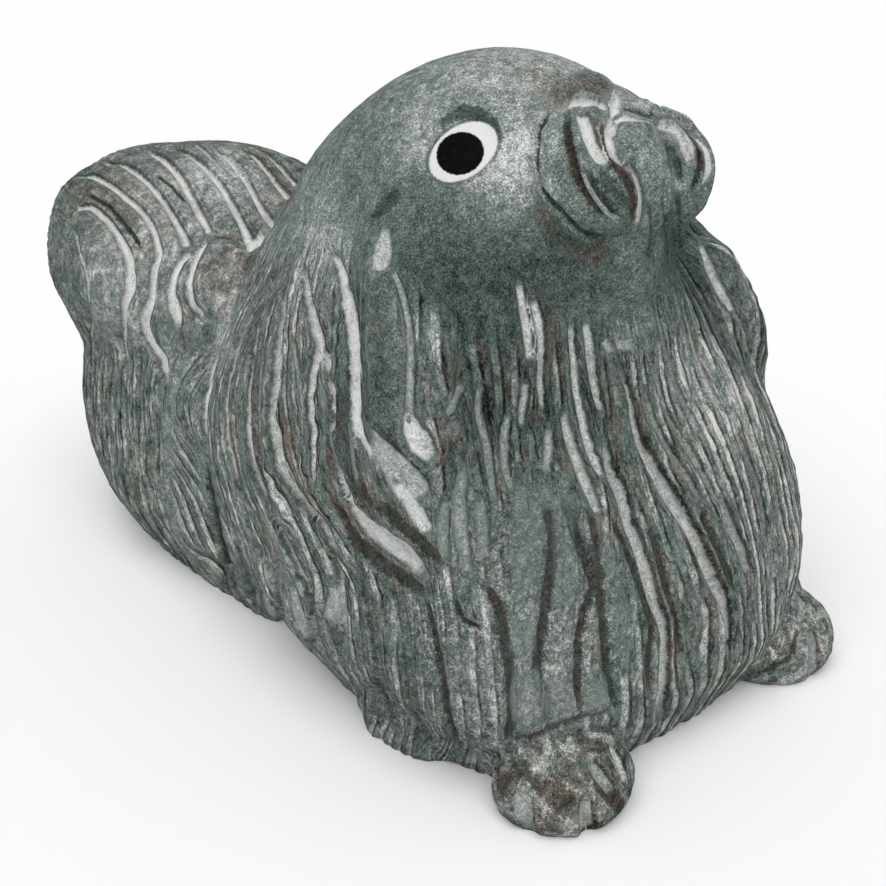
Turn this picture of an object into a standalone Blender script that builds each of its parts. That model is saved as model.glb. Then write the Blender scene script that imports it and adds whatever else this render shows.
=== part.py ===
# A concrete figurine of a long-coated dog lying down with its head raised and
# its plumed tail curled forward over its back. It is one casting.
# The nose points along -Y, the dog's own left is +X and up is +Z.
# The origin lies on the flat underside, in the middle of the figure's length.
# Places are given on a layout grid whose steps are shares of the overall size:
# 97.5 steps across the width, 172 along the length and 113.5 up the height.

import math

import bmesh
import bpy
import numpy as np
from mathutils import Euler, Matrix, Vector

# overall size of the casting, in metres
WIDTH = 0.0975
LENGTH = 0.172
HEIGHT = 0.1135

# layout grid steps across the width, length and height
GRID_STEPS = (97.5, 172.0, 113.5)

# the long coat: how many locks hang round the front and round the hindquarters
CAPE_LOCKS = 48
HAUNCH_LOCKS = 40
LOCK_DEPTH = 0.0026
CHEST_LOCK_DEPTH = 0.0019
HAUNCH_LOCK_DEPTH = 0.0016
# share of the height at which the combed coat begins below the smooth face
COAT_START_FRONT = 0.68
COAT_START_SIDE = 0.76

# the tail plume: spacing of its ribs and how deep the grooves between them are
PLUME_RIB_WIDTH = 0.0056
PLUME_RIB_DEPTH = 0.0026
# how far the ribs drift outwards for each step forwards
PLUME_SWEEP = 0.24

# the two broad bare furrows down the chest
FURROW_WIDTH = 0.0021
FURROW_DEPTH = 0.0020

# the grooves between the strands of the moustache
MOUSTACHE_GROOVE_WIDTH = 0.0013
MOUSTACHE_GROOVE_DEPTH = 0.0013

# toes
TOE_GROOVE_WIDTH = 0.0010
TOE_GROOVE_DEPTH = 0.0014

# cells in which the clay-like masses are melted together, coarse and then fine
MASS_CELL = 0.0016
DETAIL_CELL = 0.0009
MASS_SMOOTHING_PASSES = 30
DETAIL_SMOOTHING_PASSES = 2
# triangles kept in the finished casting; within this many steps of the nose
# the skin stays as fine as if the whole casting had the larger number
TRIANGLES = 10900
FACE_TRIANGLE_LEVEL = 26000
FACE_REACH = 17.0
# points of the level underside closer together than this count as one
CUT_TOLERANCE = 0.000001

STEP = np.array([WIDTH / GRID_STEPS[0], LENGTH / GRID_STEPS[1], HEIGHT / GRID_STEPS[2]])

# grey-green patina
PATINA_COLOUR = (0.16, 0.20, 0.18, 1.0)
PATINA_ROUGHNESS = 0.85

# the layout's zero is under the neck; the middle of the length is behind it
MIDDLE_BEHIND_NECK = 7.5

# Rings of the two body masses: level, half the width, front edge, back edge
# and how square the ring is.
FOREBODY_RINGS = [
    (-4, 33.5, -62, 0, 3.4),
    (4, 38, -66, 6, 3.5),
    (14, 43.8, -69.5, 14, 3.6),
    (26, 47, -69.5, 23, 3.6),
    (40, 46.8, -66.5, 30, 3.4),
    (54, 44, -61, 32, 3.0),
    (66, 39.5, -53.5, 31, 2.5),
    (77, 34, -48, 30, 2.2),
    (87, 30, -46, 25, 2.0),
    (96, 27, -44, 17, 2.0),
    (104, 21.5, -38, 7, 2.0),
    (110, 14, -30, -3, 2.0),
    (113.6, 3, -20, -14, 2.0),
]
HINDQUARTER_RINGS = [
    (-4, 32.5, -10, 81, 3.1),
    (4, 36.5, -10, 88.5, 3.1),
    (14, 41, -10, 92.5, 3.0),
    (30, 43, -10, 93.5, 2.9),
    (46, 41.5, -10, 92, 2.7),
    (60, 34, -8, 82, 2.4),
    (72, 18, 5, 62, 2.3),
]

# eggs of the head: middle, radii and, where it is turned, the tilt
SKULL = ((0, -19.5, 88.5), (27.5, 31, 25.3))
FACE = ((0.5, -37.5, 96), (18, 14.5, 15), (-30, 0, 0))
THROAT = ((1.0, -41, 86), (12, 10, 16), (-8, 0, 0))
# the middle of the muzzle lies a little to the dog's left, and its left side
# hangs lower by twice the roll
MUZZLE_MIDDLE = 1.2
MUZZLE_ROLL = 0.5
MOUTH = ((MUZZLE_MIDDLE, -46.0, 98), (7.0, 7.4, 11), (-26, 0, 0))
NOSE = ((-1.6, -39.0, 109.0), (6.2, 5.0, 4.2), (-18, 10, 0))
# the combed coat stays off the muzzle: none within the first reach from its
# heart, full beyond the second
MUZZLE_HEART = (MUZZLE_MIDDLE, -47.0, 98.0)
MUZZLE_REACH = (15.0, 19.0)

# the smooth lobe of the right ear, from its root down, and its radii
EAR_LOBE = [(-25, -19, 90), (-30.5, -28.5, 80), (-34.5, -35.8, 70), (-37.5, -40, 61), (-39, -44, 55)]
EAR_LOBE_RADII = [5, 7, 8.2, 8, 5]
LOBE_REACH = (7.0, 10.0)
CURL_REACH = (4.5, 7.0)

# middles of the right and the left forepaw, their radii, and the skin round
# them that the coat leaves plain
PAWS = ((-26.4, -64.0, 5.0), (34.0, -59.0, 5.0))
PAW_RADII = (12.8, 12.6, 9.4)
PAW_SKIN = (1.05, 1.2)
# the two forelegs behind them: middle and radii
FORELEGS = (((-29.0, -46.0, 10.5), (13.0, 14.0, 12.0)), ((33.6, -51.5, 9.5), (12.2, 13.0, 11.5)))
# places of the grooves between the toes beside a paw's middle, how far ahead
# of it they begin and are full, and the levels between which they end
TOE_GROOVES = (-4.6, 1.4, 6.8)
TOE_START = (2.0, 7.0)
TOE_LEVELS = (13.0, 18.0)

# the two eggs of the tail plume: middle, radii and tilt
PLUME_TOP = ((-17, 53, 64.5), (29, 38, 21), (0, -12, 6))
PLUME_REAR = ((-19, 69, 60), (25, 25, 24), (0, -12, 0))
# the line along the middle of the plume, from its rear end to its front end,
# and the reach of its skin from that line
PLUME_AXIS = ((-20, 92, 60), (-13, 14, 68))
PLUME_GIRTH = 23.0
# the ribs turn down the side where the way round from the crest passes this
# many steps, less this share of the way forwards, over a bend of this length
PLUME_SHOULDER = 46.0
PLUME_SHOULDER_FALL = 0.52
PLUME_BEND = 4.0
# the ribs fade out where they would run together at the rear end of the line:
# none within the first of these reaches from it, full beyond the second
PLUME_KNOT = (3.0, 9.0)
PLUME_WANDER = 0.16
PLUME_WANDER_PITCH = 9.0
# where the ribs end: outside the eggs, low down and towards the neck
PLUME_SKIN = (1.04, 1.14)
PLUME_LEVELS = (46.0, 56.0)
PLUME_FRONT = (12.0, 20.0)

# the cape of locks hangs round an upright line at this place behind the neck,
# with the locks crowded at the chest
CAPE_AXIS = -10.0
CAPE_CROWDING = 2.6
CAPE_WANDER = 0.30
LOCKS_IN_GROUP = 3.0
GROUP_WANDER = 0.2
WANDERS_ROUND = 4.0
# cosines of the bearings between which the flank turns into the chest
CHEST_EDGE = (0.5, 0.9)
# how far below and above its start the coat fades in
COAT_FADE = (6.0, 2.0)
# shares of the single lock and the group in the relief of the cape, and what
# both and a single lock are worth on average
LOCK_SHARE = 0.75
GROUP_SHARE = 0.45
MEAN_OF_CAPE = 0.85
MEAN_OF_LOCKS = 0.7
# how full the locks' round backs are; smaller is fuller, with sharper valleys
LOCK_ROUNDNESS = 0.6
# how fast the two waves in the locks' wander turn along a lock, per step
BROAD_WAVE = 0.105
FINE_WAVE = 0.23
# the haunch's locks hang round a line further back, and the cape gives way to
# them between these places, which lean with the level
HAUNCH_AXIS = 42.0
HAUNCH_WANDER = 0.22
PARTING = (27.0, 36.0)
PARTING_LEAN = 0.12
PARTING_LEVEL = 30.0

# radii of a moustache strand along it, as shares of its radius
MOUSTACHE_SWELL = (0.6, 1.0, 1.1, 1.0, 0.6)
# the strands of the moustache on one side, from the nose outwards and down,
# measured from the middle of the muzzle, with the radius of each
MOUSTACHE_STRANDS = [
    ([(5.7, -43.5, 108.4), (9, -48.7, 105.4), (8.8, -52, 100.8), (7, -52.8, 96), (6.6, -51, 91.6)], 2.3),
    ([(8.7, -42, 108), (12.8, -47.3, 104.8), (12.9, -50.2, 100.2), (11, -51.8, 95.2), (9, -50.8, 91.4)], 2.4),
    ([(12.2, -42.6, 106.4), (15.6, -44.4, 102.6), (15.6, -46.8, 97.8), (13.6, -49.2, 93.4), (11, -49.6, 90.4)], 2.5),
]
# grooves between the strands, in the same measure as the strands
MOUSTACHE_GROOVES = [
    [(7.6, -46.0, 109.0), (11.4, -50.8, 105.0), (11.8, -53.6, 100.6), (9.6, -55.0, 95.6)],
    [(11.4, -43.6, 108.6), (15.2, -48.2, 104.4), (15.2, -50.8, 99.2), (13.0, -52.8, 94.6)],
]
# the curled locks behind and below the ear, on the dog's right side
EAR_LOCKS = [
    ([(-33, -17, 78), (-37, -22.5, 68), (-40.5, -28, 58.5), (-42.3, -34, 51), (-41.5, -42, 48),
      (-39, -49, 45.5)],
     [1.8, 3.0, 3.6, 3.8, 3.4, 1.8]),
    ([(-36, -12, 70), (-40.5, -17, 59), (-43.5, -23.5, 48), (-44.6, -31, 40.5), (-43.6, -40, 37.5),
      (-41, -48, 37.5)],
     [1.8, 3.0, 3.5, 3.6, 3.2, 1.8]),
    ([(-36, -3, 70), (-41, -7, 57), (-44.5, -13, 44), (-46, -19.5, 33), (-45.6, -27, 27.5), (-44.5, -34, 27)],
     [1.6, 2.8, 3.2, 3.2, 2.8, 1.5]),
]
# furrows down the chest, on the surface from top to bottom, and the levels
# between which they deepen at the top and run out at the foot
FURROW_TOP = (56.0, 44.0)
FURROW_FOOT = (8.0, 20.0)
FURROWS = [
    [(-8.6, -57.4, 58), (-12.1, -62.7, 46.8), (-11.2, -65.7, 38.6), (-9.5, -68.2, 29.6), (-8.6, -69.8, 12)],
    [(-4.6, -58.5, 56.5), (0, -63.7, 45), (5.8, -67.4, 33), (8.4, -69.2, 22.9), (9.3, -69.8, 12)],
]


# Smooth curves through key rows: the first column is the parameter and the
# other columns are eased between rows without overshooting them.
def eased(rows, values):
    keys = np.array(rows, dtype=float)
    spots = keys[:, 0]
    gaps = np.diff(spots)
    place = np.clip(np.searchsorted(spots, values) - 1, 0, len(spots) - 2)
    span = gaps[place]
    share = (values - spots[place]) / span
    columns = []
    for column in keys[:, 1:].T:
        slopes = np.diff(column) / gaps
        before = slopes[:-1]
        after = slopes[1:]
        product = before * after
        total = before + after
        safe = np.where(product > 0, total, 1.0)
        inner = np.where(product > 0, 2.0 * product / safe, 0.0)
        tangents = np.concatenate([slopes[:1], inner, slopes[-1:]])
        start = column[place] * (1 + 2 * share) * (1 - share) ** 2
        start = start + tangents[place] * span * share * (1 - share) ** 2
        end = column[place + 1] * share ** 2 * (3 - 2 * share)
        end = end + tangents[place + 1] * span * share ** 2 * (share - 1)
        columns.append(start + end)
    return np.array(columns).T


def add_object(name, shape):
    mesh = bpy.data.meshes.new(name)
    shape.to_mesh(mesh)
    shape.free()
    added = bpy.data.objects.new(name, mesh)
    bpy.context.scene.collection.objects.link(added)
    return added


# An egg-shaped mass; the tilt is about X, Y and Z in degrees.
def add_egg(name, centre, radii, tilt=(0.0, 0.0, 0.0), segments=32):
    shape = bmesh.new()
    bmesh.ops.create_uvsphere(shape, u_segments=segments, v_segments=segments // 2, radius=1.0)
    turn = Euler([math.radians(angle) for angle in tilt]).to_matrix().to_4x4()
    shape.transform(Matrix.Diagonal(Vector(radii).to_4d()))
    shape.transform(turn)
    shape.transform(Matrix.Translation(Vector(centre)))
    shape.transform(Matrix.Diagonal(Vector(STEP).to_4d()))
    return add_object(name, shape)


# A run of balls along a curve, which melts into one lock of hair.
def add_lock(name, points, radii, balls=16):
    rows = [(index,) + tuple(point) + (radius,) for index, (point, radius) in enumerate(zip(points, radii))]
    run = eased(rows, np.linspace(0, len(points) - 1, balls))
    return [add_egg(name, spot[:3], (spot[3],) * 3, segments=12) for spot in run]


def mirrored(points):
    return [(-x, y, z) for x, y, z in points]


# A mass stacked from squarish level rings. Each key row holds the level, half
# the width, the front edge, the back edge and how square the ring is.
def add_stack(name, rows, around=72, levels=64):
    heights = np.linspace(rows[0][0], rows[-1][0], levels)
    turns = np.linspace(0, 2 * math.pi, around, endpoint=False)
    across = np.cos(turns)
    along = np.sin(turns)
    shape = bmesh.new()
    rings = []
    for height, (half, front, back, square) in zip(heights, eased(rows, heights)):
        xs = half * np.sign(across) * np.abs(across) ** (2 / square)
        ys = (front + back) / 2 + (back - front) / 2 * np.sign(along) * np.abs(along) ** (2 / square)
        ring = [shape.verts.new(Vector((x, y, height)) * Vector(STEP)) for x, y in zip(xs, ys)]
        rings.append(ring)
    for lower, upper in zip(rings[:-1], rings[1:]):
        for index in range(around):
            following = (index + 1) % around
            shape.faces.new((lower[index], lower[following], upper[following], upper[index]))
    shape.faces.new(rings[0][::-1])
    shape.faces.new(rings[-1])
    return add_object(name, shape)


# The large masses of the figure, which are melted together softly.
def add_masses():
    masses = [
        add_stack("forebody", FOREBODY_RINGS),
        add_stack("hindquarters", HINDQUARTER_RINGS),
        add_egg("skull", *SKULL),
        add_egg("plume", *PLUME_TOP),
        add_egg("plume", *PLUME_REAR),
    ]
    for lobe in (EAR_LOBE, mirrored(EAR_LOBE)):
        masses += add_lock("ear", lobe, EAR_LOBE_RADII)
    return masses


# The features that stay crisp: muzzle, nose, ear locks, forelegs and paws.
def add_features():
    features = [add_egg("paw", middle, PAW_RADII) for middle in PAWS]
    features += [add_egg("foreleg", middle, radii) for middle, radii in FORELEGS]
    features.append(add_egg("face", *FACE))
    features.append(add_egg("throat", *THROAT))
    features.append(add_egg("mouth", *MOUTH))
    features.append(add_egg("nose", *NOSE))
    for side in (-1, 1):
        for points, radius in MOUSTACHE_STRANDS:
            widths = [radius * share for share in MOUSTACHE_SWELL]
            features += add_lock("moustache", beside_muzzle(points, side), widths)
        for points, radii in EAR_LOCKS:
            features += add_lock("lock", points if side < 0 else mirrored(points), radii)
    return features


# Places measured from the middle of the muzzle, on one of its sides.
def beside_muzzle(points, side):
    lowered = MUZZLE_ROLL * (1 + side)
    return [(MUZZLE_MIDDLE + side * x, y, z - lowered) for x, y, z in points]


def gather(objects, name):
    shape = bmesh.new()
    for single in objects:
        shape.from_mesh(single.data)
        bpy.data.objects.remove(single)
    return add_object(name, shape)


def settle(target):
    graph = bpy.context.evaluated_depsgraph_get()
    graph.update()
    finished = bpy.data.meshes.new_from_object(target.evaluated_get(graph))
    target.modifiers.clear()
    target.data = finished


# Melts overlapping masses into one skin and softens it like worked clay.
def melt(target, cell, passes):
    remesh = target.modifiers.new("melt", "REMESH")
    remesh.mode = "VOXEL"
    remesh.voxel_size = cell
    if passes:
        soften = target.modifiers.new("soften", "SMOOTH")
        soften.factor = 0.5
        soften.iterations = passes
    settle(target)


def read_vectors(values, name):
    flat = np.empty(len(values) * 3, dtype=np.float32)
    values.foreach_get(name, flat)
    return flat.reshape(-1, 3).astype(float)


def ramp(low, high, values):
    share = np.clip((values - low) / (high - low), 0.0, 1.0)
    return share * share * (3.0 - 2.0 * share)


# Rounded locks side by side with narrow valleys: 0 in a valley, 1 on a crest.
def locks(turns):
    return np.abs(np.sin(math.pi * turns)) ** LOCK_ROUNDNESS


# A slow wander that keeps neighbouring locks from running like a ruler.
def wander(along, across):
    broad = np.sin(BROAD_WAVE * along + 2.1 * np.sin(0.9 * across) + 1.3 * across)
    fine = np.sin(FINE_WAVE * along - 1.9 * across + 2.0)
    return broad + 0.5 * fine


# How far each point lies from an open line of straight pieces.
def distance_to(points, line):
    nearest = np.full(len(points), 1e9)
    for first, second in zip(np.array(line[:-1]), np.array(line[1:])):
        run = second - first
        share = np.clip(((points - first) @ run) / (run @ run), 0.0, 1.0)
        gap = np.linalg.norm(points - first - share[:, None] * run, axis=1)
        nearest = np.minimum(nearest, gap)
    return nearest


def inside_egg(points, egg):
    middle, radii = egg[:2]
    return np.linalg.norm((points - np.array(middle)) / np.array(radii), axis=1)


# Relief of the tail plume: ribs run forward along its top and then bend down
# its side, nested one inside the other.
def plume_relief(points):
    rear, front = np.array(PLUME_AXIS)
    run = front - rear
    forward = run / np.linalg.norm(run)
    offset = points - rear
    ahead = offset @ forward
    radial = offset - ahead[:, None] * forward
    around = np.arctan2(-radial[:, 0], radial[:, 2]) * PLUME_GIRTH
    width = PLUME_RIB_WIDTH / STEP[2]
    shoulder = PLUME_SHOULDER - PLUME_SHOULDER_FALL * ahead
    lengthwise = (around - PLUME_SWEEP * ahead) / width
    sideways = (PLUME_SHOULDER - (PLUME_SHOULDER_FALL + PLUME_SWEEP) * ahead) / width
    bend = ramp(-PLUME_BEND, PLUME_BEND, np.abs(around) - shoulder)
    turns = lengthwise * (1 - bend) + sideways * bend * np.where(around > 0, 1.0, -1.0)
    turns = turns + PLUME_WANDER * wander(ahead, around / PLUME_WANDER_PITCH)
    split = 1.0 + bend
    clear_of_axis = ramp(PLUME_KNOT[0], PLUME_KNOT[1], np.linalg.norm(radial, axis=1))
    return PLUME_RIB_DEPTH * clear_of_axis * (locks(turns * split) / split ** 0.5 - MEAN_OF_LOCKS)


# Relief of the combed coat round the forebody and round the hindquarters.
def coat_relief(points):
    x, y, z = points.T
    bearing = np.arctan2(x, CAPE_AXIS - y)
    spread = CAPE_LOCKS / (2 * math.pi) * bearing + CAPE_CROWDING * np.sin(bearing)
    cape = locks(spread + CAPE_WANDER * wander(z, bearing * WANDERS_ROUND))
    grouped = locks(spread / LOCKS_IN_GROUP + GROUP_WANDER * wander(z, bearing * WANDERS_ROUND / 2))
    front = ramp(CHEST_EDGE[0], CHEST_EDGE[1], np.cos(bearing))
    cape_depth = LOCK_DEPTH * (1 - front) + CHEST_LOCK_DEPTH * front
    start = GRID_STEPS[2] * (COAT_START_SIDE * (1 - front) + COAT_START_FRONT * front)
    grown = 1 - ramp(start - COAT_FADE[0], start + COAT_FADE[1], z)
    cape_relief = cape_depth * grown * (LOCK_SHARE * cape + GROUP_SHARE * grouped - MEAN_OF_CAPE)
    behind = np.arctan2(x, y - HAUNCH_AXIS)
    haunch_turns = HAUNCH_LOCKS / (2 * math.pi) * behind
    haunch = locks(haunch_turns + HAUNCH_WANDER * wander(z, behind * WANDERS_ROUND))
    haunch_relief = HAUNCH_LOCK_DEPTH * (haunch - MEAN_OF_LOCKS)
    rear = ramp(PARTING[0], PARTING[1], y + PARTING_LEAN * (z - PARTING_LEVEL))
    return cape_relief * (1 - rear) + haunch_relief * rear


# Pushes every point of the skin along its normal by the relief of its region.
def carve(target):
    mesh = target.data
    points = read_vectors(mesh.vertices, "co") / STEP
    normals = read_vectors(mesh.vertices, "normal")
    x, y, z = points.T
    on_plume = np.minimum(inside_egg(points, PLUME_TOP), inside_egg(points, PLUME_REAR))
    plume = 1 - ramp(PLUME_SKIN[0], PLUME_SKIN[1], on_plume)
    plume *= ramp(PLUME_LEVELS[0], PLUME_LEVELS[1], z) * ramp(PLUME_FRONT[0], PLUME_FRONT[1], y)
    from_muzzle = np.linalg.norm(points - np.array(MUZZLE_HEART), axis=1)
    muzzle = 1 - ramp(MUZZLE_REACH[0], MUZZLE_REACH[1], from_muzzle)
    on_paws = np.minimum(inside_egg(points, (PAWS[0], PAW_RADII)), inside_egg(points, (PAWS[1], PAW_RADII)))
    paws = 1 - ramp(PAW_SKIN[0], PAW_SKIN[1], on_paws)
    curls = np.zeros(len(points))
    side_points = np.abs(x)[:, None] * np.array((-1.0, 0.0, 0.0)) + points * np.array((0.0, 1.0, 1.0))
    for line, _ in EAR_LOCKS:
        curls = np.maximum(curls, 1 - ramp(CURL_REACH[0], CURL_REACH[1], distance_to(side_points, line)))
    curls = np.maximum(curls, 1 - ramp(LOBE_REACH[0], LOBE_REACH[1], distance_to(side_points, EAR_LOBE)))
    plain = np.maximum(np.maximum(muzzle, paws), curls)
    push = (coat_relief(points) * (1 - plume) + plume_relief(points) * plume) * (1 - plain)
    for line in FURROWS:
        gap = distance_to(points, line) * STEP[2]
        fading = ramp(FURROW_TOP[0], FURROW_TOP[1], z) * ramp(FURROW_FOOT[0], FURROW_FOOT[1], z)
        push -= FURROW_DEPTH * np.exp(-(gap / FURROW_WIDTH) ** 2) * fading
    for line in MOUSTACHE_GROOVES:
        for side in (-1, 1):
            gap = distance_to(points, beside_muzzle(line, side)) * STEP[2]
            push -= MOUSTACHE_GROOVE_DEPTH * np.exp(-(gap / MOUSTACHE_GROOVE_WIDTH) ** 2)
    for middle, ahead, _ in PAWS:
        for aside in TOE_GROOVES:
            lane = (x - middle - aside) * STEP[0]
            toe = np.exp(-(lane / TOE_GROOVE_WIDTH) ** 2)
            toe *= ramp(ahead - TOE_START[0], ahead - TOE_START[1], y)
            push -= TOE_GROOVE_DEPTH * toe * (1 - ramp(TOE_LEVELS[0], TOE_LEVELS[1], z))
    moved = (points * STEP + normals * push[:, None]).astype(np.float32)
    mesh.vertices.foreach_set("co", moved.ravel())
    mesh.update()


# Cuts the underside flat at ground level and closes it with one face.
def flatten_underside(target):
    shape = bmesh.new()
    shape.from_mesh(target.data)
    everything = shape.verts[:] + shape.edges[:] + shape.faces[:]
    bmesh.ops.bisect_plane(shape, geom=everything, dist=CUT_TOLERANCE,
                           plane_co=(0, 0, 0), plane_no=(0, 0, -1), clear_outer=True)
    rim = [edge for edge in shape.edges if edge.is_boundary]
    bmesh.ops.edgeloop_fill(shape, edges=rim)
    bmesh.ops.triangulate(shape, faces=[face for face in shape.faces if len(face.verts) > 3])
    bmesh.ops.dissolve_degenerate(shape, dist=CUT_TOLERANCE, edges=shape.edges[:])
    bmesh.ops.recalc_face_normals(shape, faces=shape.faces[:])
    shape.to_mesh(target.data)
    shape.free()


# Leaves only as many triangles as the form needs; with a group named, only
# the points in that group are thinned.
def thin_out(target, triangles, group=""):
    before = sum(len(face.vertices) - 2 for face in target.data.polygons)
    thin = target.modifiers.new("thin out", "DECIMATE")
    thin.ratio = triangles / before
    thin.vertex_group = group
    settle(target)


def group_away_from_face(target):
    points = read_vectors(target.data.vertices, "co") / STEP
    gap = np.linalg.norm(points - np.array(MUZZLE_HEART), axis=1)
    group = target.vertex_groups.new(name="away from face")
    group.add(np.nonzero(gap > FACE_REACH)[0].tolist(), 1.0, "REPLACE")
    return group.name


def add_material(target):
    surface = bpy.data.materials.new("patinated concrete")
    surface.use_nodes = True
    shader = surface.node_tree.nodes["Principled BSDF"]
    shader.inputs["Base Color"].default_value = PATINA_COLOUR
    shader.inputs["Roughness"].default_value = PATINA_ROUGHNESS
    shader.inputs["Metallic"].default_value = 0.0
    target.data.materials.clear()
    target.data.materials.append(surface)


def main():
    for leftover in list(bpy.data.objects):
        bpy.data.objects.remove(leftover)
    casting = gather(add_masses(), "dog")
    melt(casting, MASS_CELL, MASS_SMOOTHING_PASSES)
    casting = gather(add_features() + [casting], "dog")
    melt(casting, DETAIL_CELL, DETAIL_SMOOTHING_PASSES)
    carve(casting)
    melt(casting, DETAIL_CELL, 0)
    thin_out(casting, FACE_TRIANGLE_LEVEL)
    thin_out(casting, TRIANGLES, group_away_from_face(casting))
    flatten_underside(casting)
    casting.data.transform(Matrix.Translation((0, -MIDDLE_BEHIND_NECK * STEP[1], 0)))
    casting.data.name = "dog"
    casting.data.shade_smooth()
    add_material(casting)
    return casting


main()
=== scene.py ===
import math

import bmesh
import bpy
import numpy as np
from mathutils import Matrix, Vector
from mathutils.bvhtree import BVHTree


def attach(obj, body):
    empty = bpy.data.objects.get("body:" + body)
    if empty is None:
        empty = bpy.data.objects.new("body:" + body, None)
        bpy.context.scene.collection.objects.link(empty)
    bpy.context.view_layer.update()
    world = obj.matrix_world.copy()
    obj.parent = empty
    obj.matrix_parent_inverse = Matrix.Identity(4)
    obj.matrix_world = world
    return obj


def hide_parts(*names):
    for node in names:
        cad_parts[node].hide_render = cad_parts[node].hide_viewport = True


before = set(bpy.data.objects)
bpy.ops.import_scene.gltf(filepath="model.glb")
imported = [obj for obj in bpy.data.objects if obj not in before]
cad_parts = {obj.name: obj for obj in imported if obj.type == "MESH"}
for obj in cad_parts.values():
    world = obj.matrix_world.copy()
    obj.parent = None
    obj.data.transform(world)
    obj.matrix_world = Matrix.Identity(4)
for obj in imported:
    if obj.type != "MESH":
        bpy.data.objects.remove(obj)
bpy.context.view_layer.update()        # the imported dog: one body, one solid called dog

# Everything is laid out in millimetres with zero under the neck, and put into metres,
# in the frame's place, at the very end. The dog looks along -Y and its own left is +X.
layout = {"step": 0.001, "neckToMiddle": 7.5}

# where the photograph was taken from: angles in degrees, lengths in millimetres, and
# the focal length in pixels of its square picture
photo = {"size": 886, "focal": 1460.31, "azimuth": -39.85, "elevation": 25.18, "distance": 288.2,
         "aim": (0.0, -2.53, 35.12)}


# back = (sin a cos e, -cos a cos e, sin e), and right and up stand square to it
def cameraFrame():
    a, e = math.radians(photo["azimuth"]), math.radians(photo["elevation"])
    back = np.array([math.sin(a) * math.cos(e), -math.cos(a) * math.cos(e), math.sin(e)])
    right = np.array([math.cos(a), math.sin(a), 0.0])
    return np.array(photo["aim"]) + back * photo["distance"], right, np.cross(back, right), back


# a smooth step from 0 at low to 1 at high: s * s * (3 - 2 s)
def ramp(low, high, values):
    s = np.clip((values - low) / (high - low), 0.0, 1.0)
    return s * s * (3.0 - 2.0 * s)


# a curve through rows of numbers: the first column is the parameter, and the others are
# cubic between rows with tangents that never overshoot (harmonic mean of both slopes)
def eased(rows, values):
    keys = np.array(rows, dtype=float)
    spots, gaps = keys[:, 0], np.diff(keys[:, 0])
    place = np.clip(np.searchsorted(spots, values) - 1, 0, len(spots) - 2)
    span = gaps[place]
    s = (values - spots[place]) / span
    columns = []
    for column in keys[:, 1:].T:
        slopes = np.diff(column) / gaps
        product, total = slopes[:-1] * slopes[1:], slopes[:-1] + slopes[1:]
        inner = np.where(product > 0, 2.0 * product / np.where(product > 0, total, 1.0), 0.0)
        tangents = np.concatenate([slopes[:1], inner, slopes[-1:]])
        start = column[place] * (1 + 2 * s) * (1 - s) ** 2 + tangents[place] * span * s * (1 - s) ** 2
        end = column[place + 1] * s ** 2 * (3 - 2 * s) + tangents[place + 1] * span * s ** 2 * (s - 1)
        columns.append(start + end)
    return np.array(columns).T


# the same for a list of points: count points along it
def smoothWay(points, count):
    rows = [(index,) + tuple(point) for index, point in enumerate(points)]
    return eased(rows, np.linspace(0, len(points) - 1, count))


# rounded locks side by side with narrow valleys: |sin(pi t)| to the power 0.6
def locks(turns):
    return np.abs(np.sin(math.pi * turns)) ** 0.6


# slow sine wander that keeps neighbouring locks from running like a ruler
def wander(along, across):
    slow = np.sin(0.105 * along + 2.1 * np.sin(0.9 * across) + 1.3 * across)
    return slow + 0.5 * np.sin(0.23 * along - 1.9 * across + 2.0)


# even lumps: random values on a cubic lattice, eased between the eight corners round each point
def lumps(points, size, seed):
    lattice = np.random.default_rng(seed).random((32, 32, 32))
    spots = points / size
    base = np.floor(spots).astype(int)
    s = spots - base
    s = s * s * (3.0 - 2.0 * s)
    total = np.zeros(len(points))
    for corner in range(8):
        bits = np.array([corner & 1, corner >> 1 & 1, corner >> 2 & 1])
        weight = np.prod(np.where(bits, s, 1 - s), axis=1)
        x, y, z = ((base + bits) % 32).T
        total += weight * lattice[x, y, z]
    return total * 2.0 - 1.0


# rings (level, point on ring, xyz) closed with a point at each end, as triangles
def closedSkin(rings, first, last):
    levels, around = rings.shape[:2]
    index = np.arange(levels * around).reshape(levels, around)
    ahead = np.roll(index, -1, axis=1)
    a, b, c, d = index[:-1].ravel(), ahead[:-1].ravel(), ahead[1:].ravel(), index[1:].ravel()
    low, high = levels * around, levels * around + 1
    faces = [np.stack([a, b, c], axis=1), np.stack([a, c, d], axis=1),
             np.stack([np.full(around, low), ahead[0], index[0]], axis=1),
             np.stack([np.full(around, high), index[-1], ahead[-1]], axis=1)]
    return np.concatenate([rings.reshape(-1, 3), [first, last]]), np.concatenate(faces)


# egg: centre + turn * (rx sin v cos u, ry sin v sin u, -rz cos v); tilt is about X, Y, Z in degrees
def egg(centre, radii, tilt=(0.0, 0.0, 0.0), around=40):
    v = np.linspace(0, math.pi, around // 2 + 1)[1:-1, None]
    u = np.linspace(0, 2 * math.pi, around, endpoint=False)[None, :]
    rings = np.stack([np.sin(v) * np.cos(u), np.sin(v) * np.sin(u), -np.cos(v) + 0 * u], axis=2)
    points, faces = closedSkin(rings, (0, 0, -1), (0, 0, 1))
    tx, ty, tz = np.radians(tilt)
    turnX = np.array([[1, 0, 0], [0, math.cos(tx), -math.sin(tx)], [0, math.sin(tx), math.cos(tx)]])
    turnY = np.array([[math.cos(ty), 0, math.sin(ty)], [0, 1, 0], [-math.sin(ty), 0, math.cos(ty)]])
    turnZ = np.array([[math.cos(tz), -math.sin(tz), 0], [math.sin(tz), math.cos(tz), 0], [0, 0, 1]])
    return points * np.array(radii) @ (turnZ @ turnY @ turnX).T + np.array(centre), faces


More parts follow.
